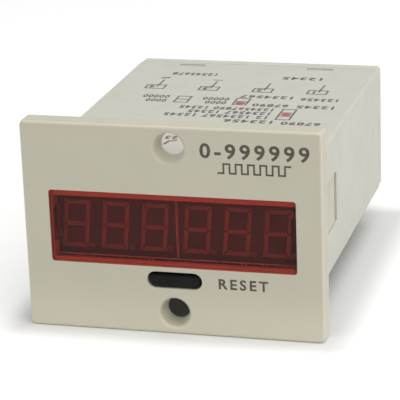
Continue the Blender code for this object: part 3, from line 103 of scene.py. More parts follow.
# Skins whose sharp edges are broken, by this many millimetres
BROKEN_EDGES = {"display_window": 0.12}

# Points of a skin nearer than this are one, and faces within this angle are one face
SAME_POINT = 0.0005 * MM
SAME_FACE = math.radians(0.3)

# The digits of a module, and their decimal points as seen from the module's middle
DIGIT_PITCH = 9.6 * MM
POINT_X = 3.55 * MM
POINT_Z = -5.55 * MM
POINT_RADIUS = 0.95 * MM
POINT_FADE = 0.15 * MM

# Bands in which a finish changes: painted highlights along edges, the bezel's foot painted paler as bounced
# light, the bare ends and foot of a digit module, and the painted shadow of the slot's lip on the button,
# which starts this far above its middle
EDGE_HIGHLIGHT_BAND = 0.9 * MM
BOUNCE_LIGHT_HEIGHT = 15 * MM
BARE_END = 0.22 * MM
BARE_FOOT = 0.45 * MM
BARE_FADE = 0.15 * MM
LIP_SHADE = 0.8 * MM
LIP_FADE = 0.5 * MM

# Dust on black plastic
DUST = (0.25, 0.24, 0.22, 1.0)

# Print on the bezel, in millimetres right and up of its middle: text, centre, width, height, weight, spacing
FRONT_TEXTS = (
    ("0-999999", (20.2, 20.05), 25.6, 3.7, 0.024, 1.3),
    ("RESET", (16.8, -12.2), 11.8, 2.6, 0.026, 1.35),
)
PULSES_LEFT = 11.5
PULSES_LENGTH = 17.2
PULSE_LOW = 14.9
PULSE_HIGH = 17.1
PULSE_STEPS = 12

# Print on the housing's top, in millimetres right of its middle and behind the bezel's face: a box, a wire
# and a number for each terminal, with x from the terminal's middle, and two signs beside the wires
BOX_HALF_WIDTH = 2.45
BOX_FRONT = 62.0
BOX_REAR = 65.4
WIRE_START = (0.3, 64.1)
WIRE_END = (0.5, 70.3)
NUMBER_PLACE = (-0.9, 63.7)
NUMBER_HEIGHT = 2.3
NUMBER_WEIGHT = 0.04
SLANTED_SIGN = ((-21.8, 72.1), (-20.4, 72.7))
LEVEL_SIGN = ((-7.8, 71.9), (-5.7, 71.9))

# Rows of plain figures: text, lowest x, highest x and y; the last shows through the bezel's upper screw hole,
# with a corner mark beside it
FIGURE_ROWS = (
    ("12345678", -20.5, -8.4, 77.0), ("12345", 9.6, 20.1, 76.1),
    ("1234567", 2.6, 16.3, 57.7), ("123456", 18.5, 28.1, 56.8),
    ("00000", -22.2, -15.2, 54.9), ("0000", -20.5, -15.1, 51.3),
    ("00000", -6.3, 0.6, 54.5), ("0000", -4.9, 0.6, 51.2),
    ("67890", 7.6, 16.8, 50.3), ("12345", 19.0, 28.4, 50.1),
    ("1234567890 12345", -10.2, 13.8, 46.4), ("1234567 12345", -7.1, 13.8, 43.0),
    ("12 1234567 12345", -12.4, 13.8, 39.6), ("123456", 3.8, 16.0, 35.9),
    ("67890", 18.2, 28.0, 35.6), ("123", -6.5, -2.1, 20.2),
)
ROW_WEIGHT = 0.03
ROW_SPACING = 1.15
CORNER_MARK = ((-5.3, 14.6), (-4.8, 17.4), (-3.0, 18.0))

# Widths of the slanted sign and the corner mark, in printed lines
SIGN_WIDTH = 2.0
MARK_WIDTH = 1.5

# Check boxes: middle x, lowest y, highest y and number of cells, and the red marks that fill two of the cells
CHECK_BOXES = ((-11.2, 50.3, 55.7, 2), (4.2, 49.9, 55.7, 2), (17.9, 38.5, 47.5, 3))
CHECK_HALF_WIDTH = 1.7
TICKS = ((4.2, 51.35), (17.9, 43.0))
TICK_RADII = (1.35, 1.15)
TICK_CORNERS = 24

# Numbers on the rear cover, in millimetres above the bezel's middle
REAR_NUMBER_UP = 10.9
REAR_NUMBER_HEIGHT = 2.7

# A terminal screw's thread: its depth and crest in shares of the pitch, how far under the head it ends, and
# the plain collar there
THREAD_DEPTH = 0.45
CREST = (0.4, 0.6)
THREAD_END = 0.6 * MM
COLLAR = 0.4 * MM

# Its tip in shares of the shank's radius, and its head: chamfer, rim as a share of the height, and crown as a
# share of the radius
TIP_RADIUS = 0.55
TIP_LENGTH = 0.4
HEAD_CHAMFER = 0.1 * MM
RIM_HEIGHT = 0.45
CROWN_RADIUS = 0.5

# Its recess: floors as shares of the head's height, and the cross's reach as a share of the head, at its top
# and, of that, at its floor
SLOT_FLOOR = 0.5
CROSS_FLOOR = 0.3
CROSS_REACH = 0.32
CROSS_TAPER = 0.62

# How finely it is made, and how many of the row's turns the first screw starts with
SCREW_SIDES = 48
CROWN_STEPS = 8
FIRST_TURN = 1.7

# The stage, in metres, but for the camera's sensor in millimetres
LAMP_SIZE = 1.0
KEY_PLACE = (0.40, -0.18, 0.70)
FILL_PLACE = (-0.25, -0.60, 0.45)
FLOOR_REACH = 3.0
SENSOR_WIDTH = 36.0
VIEW_START = 0.01
VIEW_END = 20.0

# How far from the counter the floor's own light is full, and how far in under it the painted shadow starts
# and is full
LIFT_FULL = 10 * MM
SHADE_START = -2 * MM
SHADE_FULL = -14 * MM


def linear(red, green, blue):
    """A colour given as 0-255 display values, as Blender's linear RGBA."""
    def channel(value):
        share = value / 255
        return share / 12.92 if share <= 0.04045 else ((share + 0.055) / 1.055) ** 2.4
    return (channel(red), channel(green), channel(blue), 1.0)


def toned(colour, factor):
    return tuple(min(1.0, channel * factor) for channel in colour[:3]) + (1.0,)


def colour_property(name, description, default):
    return bpy.props.FloatVectorProperty(
        name=name, description=description, default=default, subtype="COLOR", size=4, min=0.0, max=1.0)


def length_property(name, description, millimetres):
    return bpy.props.FloatProperty(
        name=name, description=description, default=millimetres * MM, min=0.0, subtype="DISTANCE",
        unit="LENGTH")


def angle_property(name, description, radians):
    return bpy.props.FloatProperty(
        name=name, description=description, default=radians, subtype="ANGLE", unit="ROTATION")


class CounterFinishes(bpy.types.PropertyGroup):
    bezel: colour_property("Bezel", "Warm cream of the moulded bezel", linear(205, 200, 180))
    case: colour_property("Case", "Off-white of the housing and its rear cover", linear(206, 204, 190))
    window: colour_property("Window", "Red that light takes on in the window", (0.86, 0.26, 0.21, 1.0))
    face: colour_property("Digit face", "Dark paint on the face of the digit modules", linear(58, 54, 57))
    module: colour_property("Module body", "Pale plastic behind the digits' paint", linear(205, 200, 194))
    segment: colour_property("Segments", "Milky filling of the unlit segments", linear(111, 101, 97))
    button: colour_property("Button", "Black of the reset button", linear(35, 35, 34))
    ink: colour_property("Ink", "Lines and numbers printed on the case", linear(78, 74, 70))
    front_ink: colour_property("Front ink", "Print on the bezel", linear(88, 81, 72))
    tick: colour_property("Tick", "Red of the two filled-in boxes", linear(176, 84, 80))
    board: colour_property("Board", "Green solder resist", (0.012, 0.105, 0.040, 1.0))
    copper: colour_property("Copper", "Tracks under the resist", (0.035, 0.20, 0.075, 1.0))
    tin: colour_property("Tin", "Tinned pads", (0.60, 0.60, 0.57, 1.0))
    chip: colour_property("Chip", "Moulded epoxy of the chips", (0.018, 0.018, 0.020, 1.0))
    block: colour_property("Terminal block", "Black moulding of the terminals", (0.022, 0.021, 0.020, 1.0))
    steel: colour_property("Plated steel", "Screws, washers and cans", (0.60, 0.60, 0.58, 1.0))
    brass: colour_property("Brass", "Stamped terminal plates", (0.70, 0.52, 0.23, 1.0))
    core: colour_property("Core", "Varnished laminations of the transformer", (0.16, 0.155, 0.15, 1.0))
    tape: colour_property("Tape", "Yellow tape round the winding", (0.66, 0.42, 0.045, 1.0))
    bobbin: colour_property("Bobbin", "Natural nylon", (0.70, 0.66, 0.54, 1.0))
    sleeve: colour_property("Sleeve", "Shrunk sleeve of the capacitors", (0.015, 0.026, 0.11, 1.0))


class CounterPrint(bpy.types.PropertyGroup):
    ink_thickness: length_property("Ink thickness", "How far the print stands above its surface", 0.02)
    line_width: length_property("Line width", "Width of the printed lines", 0.42)
    figure_height: length_property("Figure height", "Height of the small printed numbers", 2.6)


class CounterScrews(bpy.types.PropertyGroup):
    head: length_property("Head", "Diameter of a terminal screw's head", 5.8)
    head_height: length_property("Head height", "Height of the head", 1.8)
    shank: length_property("Shank", "Outer diameter of the thread", 3.0)
    thread_pitch: length_property("Thread pitch", "Distance from one thread to the next", 0.5)
    length: length_property("Length", "Length under the head", 6.0)
    recess: length_property("Recess", "Width of the slot and of the cross in the head", 0.85)
    turn: angle_property("Turn", "How much further each screw is turned than the one before", 0.5)


class CounterStage(bpy.types.PropertyGroup):
    azimuth: angle_property("Azimuth", "Camera's bearing round the counter", math.radians(15.611))
    elevation: angle_property("Elevation", "Camera's height angle", math.radians(18.611))
    roll: angle_property("Roll", "Camera's tilt about its line of sight", math.radians(-2.121))
    distance: length_property("Distance", "From the bezel's middle to the camera", 468.606)
    offset_x: length_property("Offset right", "Camera's shift to the right", 6.61)
    offset_z: length_property("Offset up", "Camera's shift upward", 7.379)
    lens: bpy.props.FloatProperty(
        name="Lens", description="Focal length in millimetres on a 36 mm sensor", default=182.35, min=1.0)
    key_power: bpy.props.FloatProperty(
        name="Key", description="Power of the key lamp", default=4.0, unit="POWER")
    fill_power: bpy.props.FloatProperty(
        name="Fill", description="Power of the fill lamp", default=0.48, unit="POWER")
    ambient: bpy.props.FloatProperty(
        name="Ambient", description="Brightness of the studio all round", default=0.46, min=0.0)
    floor: colour_property("Floor", "Plain pale floor", (0.90, 0.90, 0.90, 1.0))
    floor_lift: bpy.props.FloatProperty(
        name="Floor lift", description="Light added to the floor where it is seen", default=0.34, min=0.0)


class NodeMaker:
    """Makes a tree's nodes, with short calls for those that are used most."""

    def __init__(self, tree):
        self.tree = tree

    def feed(self, socket, value):
        if isinstance(value, bpy.types.NodeSocket):
            self.tree.links.new(value, socket)
        else:
            socket.default_value = value

    def add(self, kind, sockets=None, **settings):
        node = self.tree.nodes.new(kind)
        for name, value in settings.items():
            setattr(node, name, value)
        for name, value in (sockets or {}).items():
            self.feed(node.inputs[name], value)
        return node

    def calculate(self, operation, *values):
        return self.add("ShaderNodeMath", dict(enumerate(values)), operation=operation).outputs[0]

    def vector_calculate(self, operation, *values):
        return self.add("ShaderNodeVectorMath", dict(enumerate(values)), operation=operation).outputs[0]

    def parts(self, vector):
        """A vector's X, Y and Z."""
        return self.add("ShaderNodeSeparateXYZ", {0: vector}).outputs

    def length(self, across, up):
        """The length of a line from how far it runs across and up."""
        squares = [self.calculate("MULTIPLY", share, share) for share in (across, up)]
        return self.calculate("SQRT", self.calculate("ADD", *squares))

    def in_units(self, vector, unit):
        """A vector counted in units of a length."""
        factor = self.calculate("DIVIDE", 1.0, unit)
        return self.add("ShaderNodeVectorMath", {0: vector, "Scale": factor}, operation="SCALE").outputs[0]

    def spread(self, value, low, high, to_low=0.0, to_high=1.0):
        """Map a value smoothly from one range to another, held at both ends."""
        sockets = {"Value": value, "From Min": low, "From Max": high, "To Min": to_low, "To Max": to_high}
        return self.add("ShaderNodeMapRange", sockets, interpolation_type="SMOOTHSTEP").outputs[0]

    def noise(self, vector, scale, detail, roughness=0.55):
        sockets = {"Vector": vector, "Scale": scale, "Detail": detail, "Roughness": roughness}
        return self.add("ShaderNodeTexNoise", sockets).outputs[0]

    def mixed(self, factor, first, second):
        node = self.add("ShaderNodeMix", data_type="RGBA")
        for index, value in ((0, factor), (6, first), (7, second)):
            self.feed(node.inputs[index], value)
        return node.outputs[2]

    def seen_share(self):
        """1 where a ray comes from the camera, a mirror or glass, and 0 for rays that light the object."""
        path = self.add("ShaderNodeLightPath").outputs
        direct = self.calculate("MAXIMUM", path["Is Camera Ray"], path["Is Glossy Ray"])
        return self.calculate("MAXIMUM", direct, path["Is Transmission Ray"])


# Shared effects

def new_group(name, inputs, outputs):
    """A shader node group that reads a vector, with its other inputs' defaults and its outputs by name."""
    tree = bpy.data.node_groups.new(name, "ShaderNodeTree")
    tree.interface.new_socket(name="Vector", in_out="INPUT", socket_type="NodeSocketVector")
    for label, default in inputs.items():
        kind = "NodeSocketVector" if isinstance(default, tuple) else "NodeSocketFloat"
        tree.interface.new_socket(name=label, in_out="INPUT", socket_type=kind).default_value = default
    for label in outputs:
        tree.interface.new_socket(name=label, in_out="OUTPUT", socket_type="NodeSocketFloat")
    source = tree.nodes.new("NodeGroupInput")
    sink = tree.nodes.new("NodeGroupOutput")
    return NodeMaker(tree), source.outputs, sink.inputs


def build_moulded_group():
    """Spark-eroded mould texture: a fine grain, and clouds where the flow of plastic changed its tone."""
    group, given, result = new_group(
        "Moulded surface", {"Grain": 0.4 * MM, "Cloud": 14 * MM}, ("Height", "Tone", "Polish"))
    fine = group.in_units(given["Vector"], given["Grain"])
    broad = group.in_units(given["Vector"], given["Cloud"])
    grain = group.noise(fine, 1.0, 2.0, 0.6)
    cells = group.add("ShaderNodeTexVoronoi", {"Vector": fine, "Scale": 0.7}).outputs[0]
    group.feed(result["Height"], group.calculate("ADD", grain, group.calculate("MULTIPLY", cells, 0.35)))
    group.feed(result["Tone"], group.spread(group.noise(broad, 1.0, 4.0), 0.3, 0.7))
    group.feed(result["Polish"], group.spread(group.noise(broad, 2.7, 3.0), 0.35, 0.75))


def build_edge_group():
    """How near a point of a box-shaped piece is to one of its edges, for painted edge highlights and bare
    rims of paint.
    """
    group, given, result = new_group(
        "Box edges", {"Centre": (0, 0, 0), "Half size": (1, 1, 1), "Width": MM}, ("Mask",))
    offset = group.vector_calculate("SUBTRACT", given["Vector"], given["Centre"])
    distance = group.vector_calculate("ABSOLUTE", offset)
    x, y, z = group.parts(group.vector_calculate("SUBTRACT", given["Half size"], distance))
    nearer = group.calculate("MINIMUM", x, y)
    further = group.calculate("MAXIMUM", x, y)
    second = group.calculate("MAXIMUM", nearer, group.calculate("MINIMUM", further, z))
    group.feed(result["Mask"], group.spread(second, given["Width"], 0.0))


def build_dust_group():
    """Fine dust that settles on what faces up."""
    group, given, result = new_group("Settled dust", {"Patch": 3 * MM}, ("Mask",))
    normal = group.add("ShaderNodeNewGeometry").outputs["Normal"]
    upward = group.spread(group.parts(normal)[2], 0.1, 0.9)
    patches = group.in_units(given["Vector"], given["Patch"])
    cover = group.spread(group.noise(patches, 1.0, 6.0, 0.7), 0.42, 0.72)
    group.feed(result["Mask"], group.calculate("MULTIPLY", upward, cover))


def build_marks_group():
    """Fine parallel marks of rolling, plating or wiping."""
    group, given, result = new_group(
        "Fine marks", {"Spacing": 0.15 * MM, "Stretch": (1, 14, 14)}, ("Mask", "Height"))
    stretched = group.vector_calculate("DIVIDE", given["Vector"], given["Stretch"])
    marks = group.noise(group.in_units(stretched, given["Spacing"]), 1.0, 4.0, 0.7)
    group.feed(result["Mask"], group.spread(marks, 0.45, 0.72))
    group.feed(result["Height"], marks)


def build_layer_group():
    """Evenly spaced layers along the vector's X, such as laminations or turns of tape."""
    group, given, result = new_group("Layers", {"Pitch": 0.5 * MM}, ("Mask", "Number"))
    count = group.calculate("DIVIDE", group.parts(given["Vector"])[0], given["Pitch"])
    share = group.calculate("FRACT", count)
    from_middle = group.calculate("ABSOLUTE", group.calculate("SUBTRACT", share, 0.5))
    group.feed(result["Mask"], group.spread(from_middle, 0.36, 0.48))
    whole = group.calculate("FLOOR", count)
    chance = group.add("ShaderNodeTexWhiteNoise", {"W": whole}, noise_dimensions="1D").outputs[0]
    group.feed(result["Number"], chance)


def build_track_group():
    """Tracks and pads of a printed circuit on a square pitch, in the vector's X-Y plane."""
    group, given, result = new_group("Circuit tracks", {"Pitch": 2.54 * MM}, ("Track", "Pad", "Hole"))
    x, y, _ = group.parts(group.in_units(given["Vector"], given["Pitch"]))
    u, v = (group.calculate("SUBTRACT", group.calculate("FRACT", along), 0.5) for along in (x, y))
    column, row = (group.calculate("FLOOR", along) for along in (x, y))
    cell = group.add("ShaderNodeCombineXYZ", {0: column, 1: row}).outputs[0]
    chance = group.add("ShaderNodeTexWhiteNoise", {"Vector": cell}, noise_dimensions="2D").outputs[0]
    runs_across = group.calculate("GREATER_THAN", chance, 0.45)
    lines = {0: runs_across, 2: group.calculate("ABSOLUTE", u), 3: group.calculate("ABSOLUTE", v)}
    from_line = group.add("ShaderNodeMix", lines).outputs[0]
    radius = group.length(u, v)
    has_pad = group.calculate("GREATER_THAN", chance, 0.72)
    group.feed(result["Track"], group.spread(from_line, 0.13, 0.09))
    for label, outer, inner in (("Pad", 0.30, 0.26), ("Hole", 0.15, 0.12)):
        group.feed(result[label], group.calculate("MULTIPLY", group.spread(radius, outer, inner), has_pad))


# Finishes

class Finish(NodeMaker):
    """One material: its Principled shader, and short calls for what feeds it."""

    def __init__(self, name, **constants):
        self.material = bpy.data.materials.new(name)
        self.material.use_nodes = True
        super().__init__(self.material.node_tree)
        self.shader = self.tree.nodes["Principled BSDF"]
        self.place = self.tree.nodes.new("ShaderNodeTexCoord").outputs["Object"]
        for socket, value in constants.items():
            self.shader.inputs[socket.replace("_", " ")].default_value = value

    def group(self, name, **values):
        node = self.add("ShaderNodeGroup", node_tree=bpy.data.node_groups[name])
        self.feed(node.inputs["Vector"], values.pop("vector", self.place))
        for socket, value in values.items():
            self.feed(node.inputs[socket.replace("_", " ")], value)
        return node.outputs

    def varied(self, mask, colour, low, high):
        """A colour that goes from one tone to another with a mask."""
        return self.mixed(mask, toned(colour, low), toned(colour, high))

    def colour(self, value):
        self.feed(self.shader.inputs["Base Color"], value)

    def roughness(self, mask, low, high):
        self.feed(self.shader.inputs["Roughness"], self.spread(mask, 0.0, 1.0, low, high))

    def bump(self, height, strength, depth):
        node = self.add("ShaderNodeBump", {"Height": height, "Strength": strength, "Distance": depth})
        self.feed(self.shader.inputs["Normal"], node.outputs[0])

    def turned_place(self, x=0.0, z=0.0):
        return self.add("ShaderNodeMapping", {"Vector": self.place, "Rotation": (x, 0.0, z)}).outputs[0]


def moulded_finish(name, colour, node, edge=1.05, foot=1.0, grain=0.38, rough=(0.40, 0.52)):
    """Moulded plastic with fine grain, soft clouds, painted highlights along its edges and a foot painted
    paler as bounced light, fitted to a box.
    """
    low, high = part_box(node)
    finish = Finish(name, IOR=1.5)
    surface = finish.group("Moulded surface", Grain=grain * MM)
    edges = finish.group("Box edges", Centre=(low + high) / 2, Half_size=(high - low) / 2, Width=EDGE_HIGHLIGHT_BAND)
    height = finish.calculate("SUBTRACT", finish.parts(finish.place)[2], low.z)
    body = finish.varied(surface["Tone"], colour, 0.975, 1.0)
    # Painted light: the foot is made paler as light bounced off the floor, and the edges lighter as painted
    # highlights
    bounce_lit = finish.mixed(finish.spread(height, BOUNCE_LIGHT_HEIGHT, 0.0), body, toned(colour, foot))
    finish.colour(finish.mixed(edges["Mask"], bounce_lit, toned(colour, edge)))
    finish.roughness(surface["Polish"], *rough)
    finish.bump(surface["Height"], 0.2, 0.008 * MM)
    return finish.material


def window_finish(colour):
    """Clear red acrylic with faint wiping marks, its red deepened at its ends, its top and its foot as
    painted shade of the shadowed cavity behind it.
    """
    low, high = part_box("display_window")
    finish = Finish("window_red_acrylic", IOR=1.25, Metallic=0.0, Transmission_Weight=1.0)
    surface = finish.group("Moulded surface", Grain=2.0 * MM, Cloud=22 * MM)
    marks = finish.group("Fine marks", Spacing=0.3 * MM, Stretch=(30, 1, 2))
    x, _, z = finish.parts(finish.place)
    from_end = finish.calculate("SUBTRACT", (high.x - low.x) / 2, finish.calculate("ABSOLUTE", x))
    from_top = finish.calculate("SUBTRACT", high.z, z)
    from_foot = finish.calculate("SUBTRACT", z, low.z)
    tint = finish.varied(surface["Tone"], colour, 0.96, 1.0)
    # Painted shade: the red is deeper near the foot, the top and the ends, where the cavity behind lies in
    # shadow
    for distance, start, full, tone in (
            (from_foot, 1.9, 1.3, 0.93), (from_top, 1.9, 1.3, 0.87), (from_end, 0.75, 0.45, 0.70)):
        tint = finish.mixed(finish.spread(distance, start * MM, full * MM), tint, toned(colour, tone))
    finish.colour(tint)
    finish.roughness(marks["Mask"], 0.0, 0.008)
    return finish.material


def digit_face_finish(node, face, module):
    """Dark paint on a module's face, which stops just short of its ends and its foot, over pale plastic."""
    low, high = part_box(node)
    half = (high - low) / 2
    finish = Finish(f"{node}_paint", Specular_IOR_Level=0.3)
    surface = finish.group("Moulded surface", Grain=0.25 * MM, Cloud=6 * MM)
    ends = finish.group("Box edges", Centre=(low + high) / 2, Half_size=half, Width=BARE_END)
    normal = finish.add("ShaderNodeNewGeometry").outputs["Normal"]
    forward = finish.calculate("MULTIPLY", finish.parts(normal)[1], -1.0)
    z = finish.parts(finish.place)[2]
    foot = finish.spread(z, low.z + BARE_FOOT, low.z + BARE_FOOT - BARE_FADE)
    rim = finish.calculate("MAXIMUM", foot, ends["Mask"])
    bare = finish.calculate("MAXIMUM", finish.spread(forward, 0.6, 0.4), rim)
    finish.colour(finish.mixed(bare, finish.varied(surface["Tone"], face, 0.88, 1.06), module))
    finish.roughness(surface["Polish"], 0.55, 0.72)
    finish.bump(surface["Height"], 0.3, 0.01 * MM)
    return finish.material


def segment_finish(node, colour):
    """Milky resin in a module's openings, fainter in the decimal points."""
    low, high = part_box(node)
    middle = (low + high) / 2
    finish = Finish(f"{node}_resin", Specular_IOR_Level=0.4, Coat_Weight=0.15)
    surface = finish.group("Moulded surface", Grain=0.3 * MM, Cloud=2.5 * MM)
    x, _, z = finish.parts(finish.place)
    from_first = finish.calculate("SUBTRACT", x, middle.x + POINT_X)
    across = finish.calculate("WRAP", from_first, DIGIT_PITCH / 2, -DIGIT_PITCH / 2)
    up = finish.calculate("SUBTRACT", z, middle.z + POINT_Z)
    point = finish.spread(finish.length(across, up), POINT_RADIUS, POINT_RADIUS - POINT_FADE)
    body = finish.varied(surface["Tone"], colour, 0.9, 1.1)
    finish.colour(finish.mixed(point, body, toned(colour, 0.62)))
    finish.roughness(surface["Polish"], 0.35, 0.5)
    finish.bump(surface["Height"], 0.2, 0.01 * MM)
    return finish.material


def dark_finish(name, colour, dust_tone, grain, rough, level=0.4, shaded_above=None):
    """Black plastic or epoxy with light dust on what faces up, and a painted shadow that makes it nearly
    black above a given height.
    """
    finish = Finish(name, Specular_IOR_Level=level)
    surface = finish.group("Moulded surface", Grain=grain * MM, Cloud=5 * MM)
    dust = finish.group("Settled dust", Patch=2.2 * MM)
    haze = finish.calculate("MULTIPLY", dust["Mask"], 0.35)
    dust_and_shadow = finish.mixed(haze, finish.varied(surface["Tone"], colour, 0.8, 1.2), dust_tone)
    # Painted shadow: above the given height the colour goes nearly black, as the shade under a lip
    if shaded_above is not None:
        shaded = finish.spread(finish.parts(finish.place)[2], shaded_above, shaded_above + LIP_FADE)
        dust_and_shadow = finish.mixed(shaded, dust_and_shadow, toned(colour, 0.1))
    finish.colour(dust_and_shadow)
    finish.roughness(surface["Polish"], *rough)
    finish.bump(surface["Height"], 0.35, 0.015 * MM)
    return finish.material


def ink_finish(name, colour):
    """Pad-printed ink that lies a little unevenly."""
    finish = Finish(name, Specular_IOR_Level=0.35)
    surface = finish.group("Moulded surface", Grain=0.3 * MM, Cloud=1.4 * MM)
    finish.colour(finish.varied(surface["Tone"], colour, 0.82, 1.25))
    finish.roughness(surface["Polish"], 0.5, 0.65)
    finish.bump(surface["Height"], 0.2, 0.005 * MM)
    return finish.material


def metal_finish(name, colour, stretch, rough, tarnish):
    """Plated or rolled metal with fine marks and a thin tarnish in patches."""
    finish = Finish(name, Metallic=1.0)
    marks = finish.group("Fine marks", Spacing=0.12 * MM, Stretch=stretch)
    surface = finish.group("Moulded surface", Grain=0.5 * MM, Cloud=2.5 * MM)
    patch = finish.calculate("MULTIPLY", surface["Tone"], 0.45)
    finish.colour(finish.mixed(patch, finish.varied(marks["Mask"], colour, 1.0, 0.82), tarnish))
    finish.roughness(surface["Polish"], *rough)
    finish.bump(marks["Height"], 0.25, 0.008 * MM)
    return finish.material


def board_finish(name, colours, turn):
    """Green resist over copper tracks with tinned pads, turned about X to lie in the board's plane."""
    finish = Finish(name, Specular_IOR_Level=0.5)
    tracks = finish.group("Circuit tracks", vector=finish.turned_place(x=turn))
    surface = finish.group("Moulded surface", Grain=0.6 * MM, Cloud=9 * MM)
    resist = finish.varied(surface["Tone"], colours.board, 0.85, 1.15)
    covered = finish.mixed(tracks["Track"], resist, colours.copper)
    tinned = finish.mixed(tracks["Pad"], covered, colours.tin)
    # Painted shade: drilled holes are drawn as dark spots in the resist
    finish.colour(finish.mixed(tracks["Hole"], tinned, toned(colours.board, 0.2)))
    finish.roughness(tracks["Pad"], 0.38, 0.28)
    raised = finish.calculate("MAXIMUM", tracks["Track"], tracks["Pad"])
    finish.bump(finish.calculate("SUBTRACT", raised, tracks["Hole"]), 0.5, 0.05 * MM)
    return finish.material


def layered_finish(name, colour, pitch, turn, metallic, rough, depth):
    """A stack of laminations or a wrap of tape, each layer a little different in tone."""
    finish = Finish(name, Metallic=metallic)
    layers = finish.group("Layers", vector=finish.turned_place(z=turn), Pitch=pitch * MM)
    surface = finish.group("Moulded surface", Grain=0.5 * MM, Cloud=4 * MM)
    body = finish.varied(layers["Number"], colour, 0.78, 1.12)
    finish.colour(finish.mixed(layers["Mask"], body, toned(colour, 0.45)))
    finish.roughness(surface["Polish"], *rough)
    finish.bump(layers["Mask"], -0.5, depth * MM)
    return finish.material


def sleeve_finish(colour):
    """Glossy shrunk sleeve, with a pale polarity stripe down one side of each can."""
    finish = Finish("sleeve_blue_shrunk", Specular_IOR_Level=0.5, Coat_Weight=0.3)
    surface = finish.group("Moulded surface", Grain=0.8 * MM, Cloud=4 * MM)
    side = finish.group("Layers", vector=finish.turned_place(z=0.6), Pitch=11 * MM)
    stripe = finish.calculate("MULTIPLY", side["Mask"], 0.6)
    body = finish.varied(surface["Tone"], colour, 0.75, 1.3)
    finish.colour(finish.mixed(stripe, body, (0.45, 0.48, 0.52, 1.0)))
    finish.roughness(surface["Polish"], 0.22, 0.34)
    finish.bump(surface["Height"], 0.2, 0.02 * MM)
    return finish.material


# Mesh helpers

def link(obj):
    bpy.context.scene.collection.objects.link(obj)
    return obj


def evaluated_mesh(obj):
    """A plain mesh of an object as its modifiers leave it."""
    graph = bpy.context.evaluated_depsgraph_get()
    return bpy.data.meshes.new_from_object(obj.evaluated_get(graph))


def finished_mesh(bm, name):
    mesh = bpy.data.meshes.new(name)
    bm.to_mesh(mesh)
    bm.free()
    return mesh


def settle(obj, name, material, body, replaced):
    """Make a plain mesh of an object with its modifiers, give it its finish and let it ride on its body."""
    mesh = evaluated_mesh(obj)
    mesh.name = name
    bpy.data.objects.remove(obj)
    mesh.materials.clear()
    mesh.materials.append(material)
    piece = link(bpy.data.objects.new(name, mesh))
    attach(piece, body)
    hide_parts(*replaced)


def shade(obj, degrees):
    """Smooth shading with sharp edges past an angle, in which a large flat face keeps its own normal."""
    obj.data.shade_smooth()
    obj.data.set_sharp_from_angle(angle=math.radians(degrees))
    weights = obj.modifiers.new("flat_faces", "WEIGHTED_NORMAL")
    weights.keep_sharp = True
    weights.weight = 80


def break_edges(obj, millimetres):
    bevel = obj.modifiers.new("broken_edges", "BEVEL")
    bevel.width = millimetres * MM
    bevel.segments = 2
    bevel.limit_method = "ANGLE"
    bevel.angle_limit = math.radians(30)


def thicken(bm, flat, place):
    """Turn flat ink into a closed layer on both sides of its surface, and add it to bm."""
    bmesh.ops.remove_doubles(flat, verts=flat.verts, dist=0.002 * MM)
    bmesh.ops.recalc_face_normals(flat, faces=flat.faces)
    outward = place(0, 0, 1.0) - place(0, 0, 0.0)
    if flat.faces and sum(face.normal.dot(outward) * face.calc_area() for face in flat.faces) < 0:
        bmesh.ops.reverse_faces(flat, faces=flat.faces)
    thickness = bpy.context.scene.counter_print.ink_thickness
    under = {vertex: bm.verts.new(vertex.co - outward * thickness) for vertex in flat.verts}
    over = {vertex: bm.verts.new(vertex.co + outward * thickness) for vertex in flat.verts}
    for face in flat.faces:
        bm.faces.new([over[vertex] for vertex in face.verts])
        bm.faces.new([under[vertex] for vertex in reversed(face.verts)])
    for edge in flat.edges:
        if len(edge.link_faces) != 1:
            continue
        loop = edge.link_loops[0]
        start, end = loop.vert, loop.link_loop_next.vert
        bm.faces.new((over[end], over[start], under[start], under[end]))
    flat.free()


def text_mesh(bm, text, centre, width, height, place, weight=0.012, spacing=1.0):
    """Add figures as raised ink about their centre, of a given height and, unless 0, a given width."""
    curve = bpy.data.curves.new("figures", "FONT")
    curve.body = text
    curve.resolution_u = 3
    curve.offset = weight
    curve.space_character = spacing
    source = link(bpy.data.objects.new("figures", curve))
    mesh = evaluated_mesh(source)
    bpy.data.objects.remove(source)
    bpy.data.curves.remove(curve)
    points = [vertex.co for vertex in mesh.vertices]
    low = Vector((min(p.x for p in points), min(p.y for p in points), 0))
    high = Vector((max(p.x for p in points), max(p.y for p in points), 0))
    middle = (low + high) / 2
    stretch_y = height / (high.y - low.y)
    stretch_x = width / (high.x - low.x) if width else stretch_y
    for vertex in mesh.vertices:
        vertex.co = place(centre[0] + (vertex.co.x - middle.x) * stretch_x,
                          centre[1] + (vertex.co.y - middle.y) * stretch_y, 0.0)
    flat = bmesh.new()
    flat.from_mesh(mesh)
    bpy.data.meshes.remove(mesh)
    thicken(bm, flat, place)


def polygon_mesh(bm, outline, place):
    """Add a flat outline as raised ink."""
    flat = bmesh.new()
    flat.faces.new([flat.verts.new(place(x, y, 0.0)) for x, y in outline])
    thicken(bm, flat, place)


def line_mesh(bm, start, end, width, place):
    """Add a straight printed line, longer by half its width at each end."""
    along = Vector((end[0] - start[0], end[1] - start[1])).normalized() * width / 2
    side = Vector((-along.y, along.x))
    first, last = Vector(start) - along, Vector(end) + along
    polygon_mesh(bm, (first - side, last - side, last + side, first + side), place)


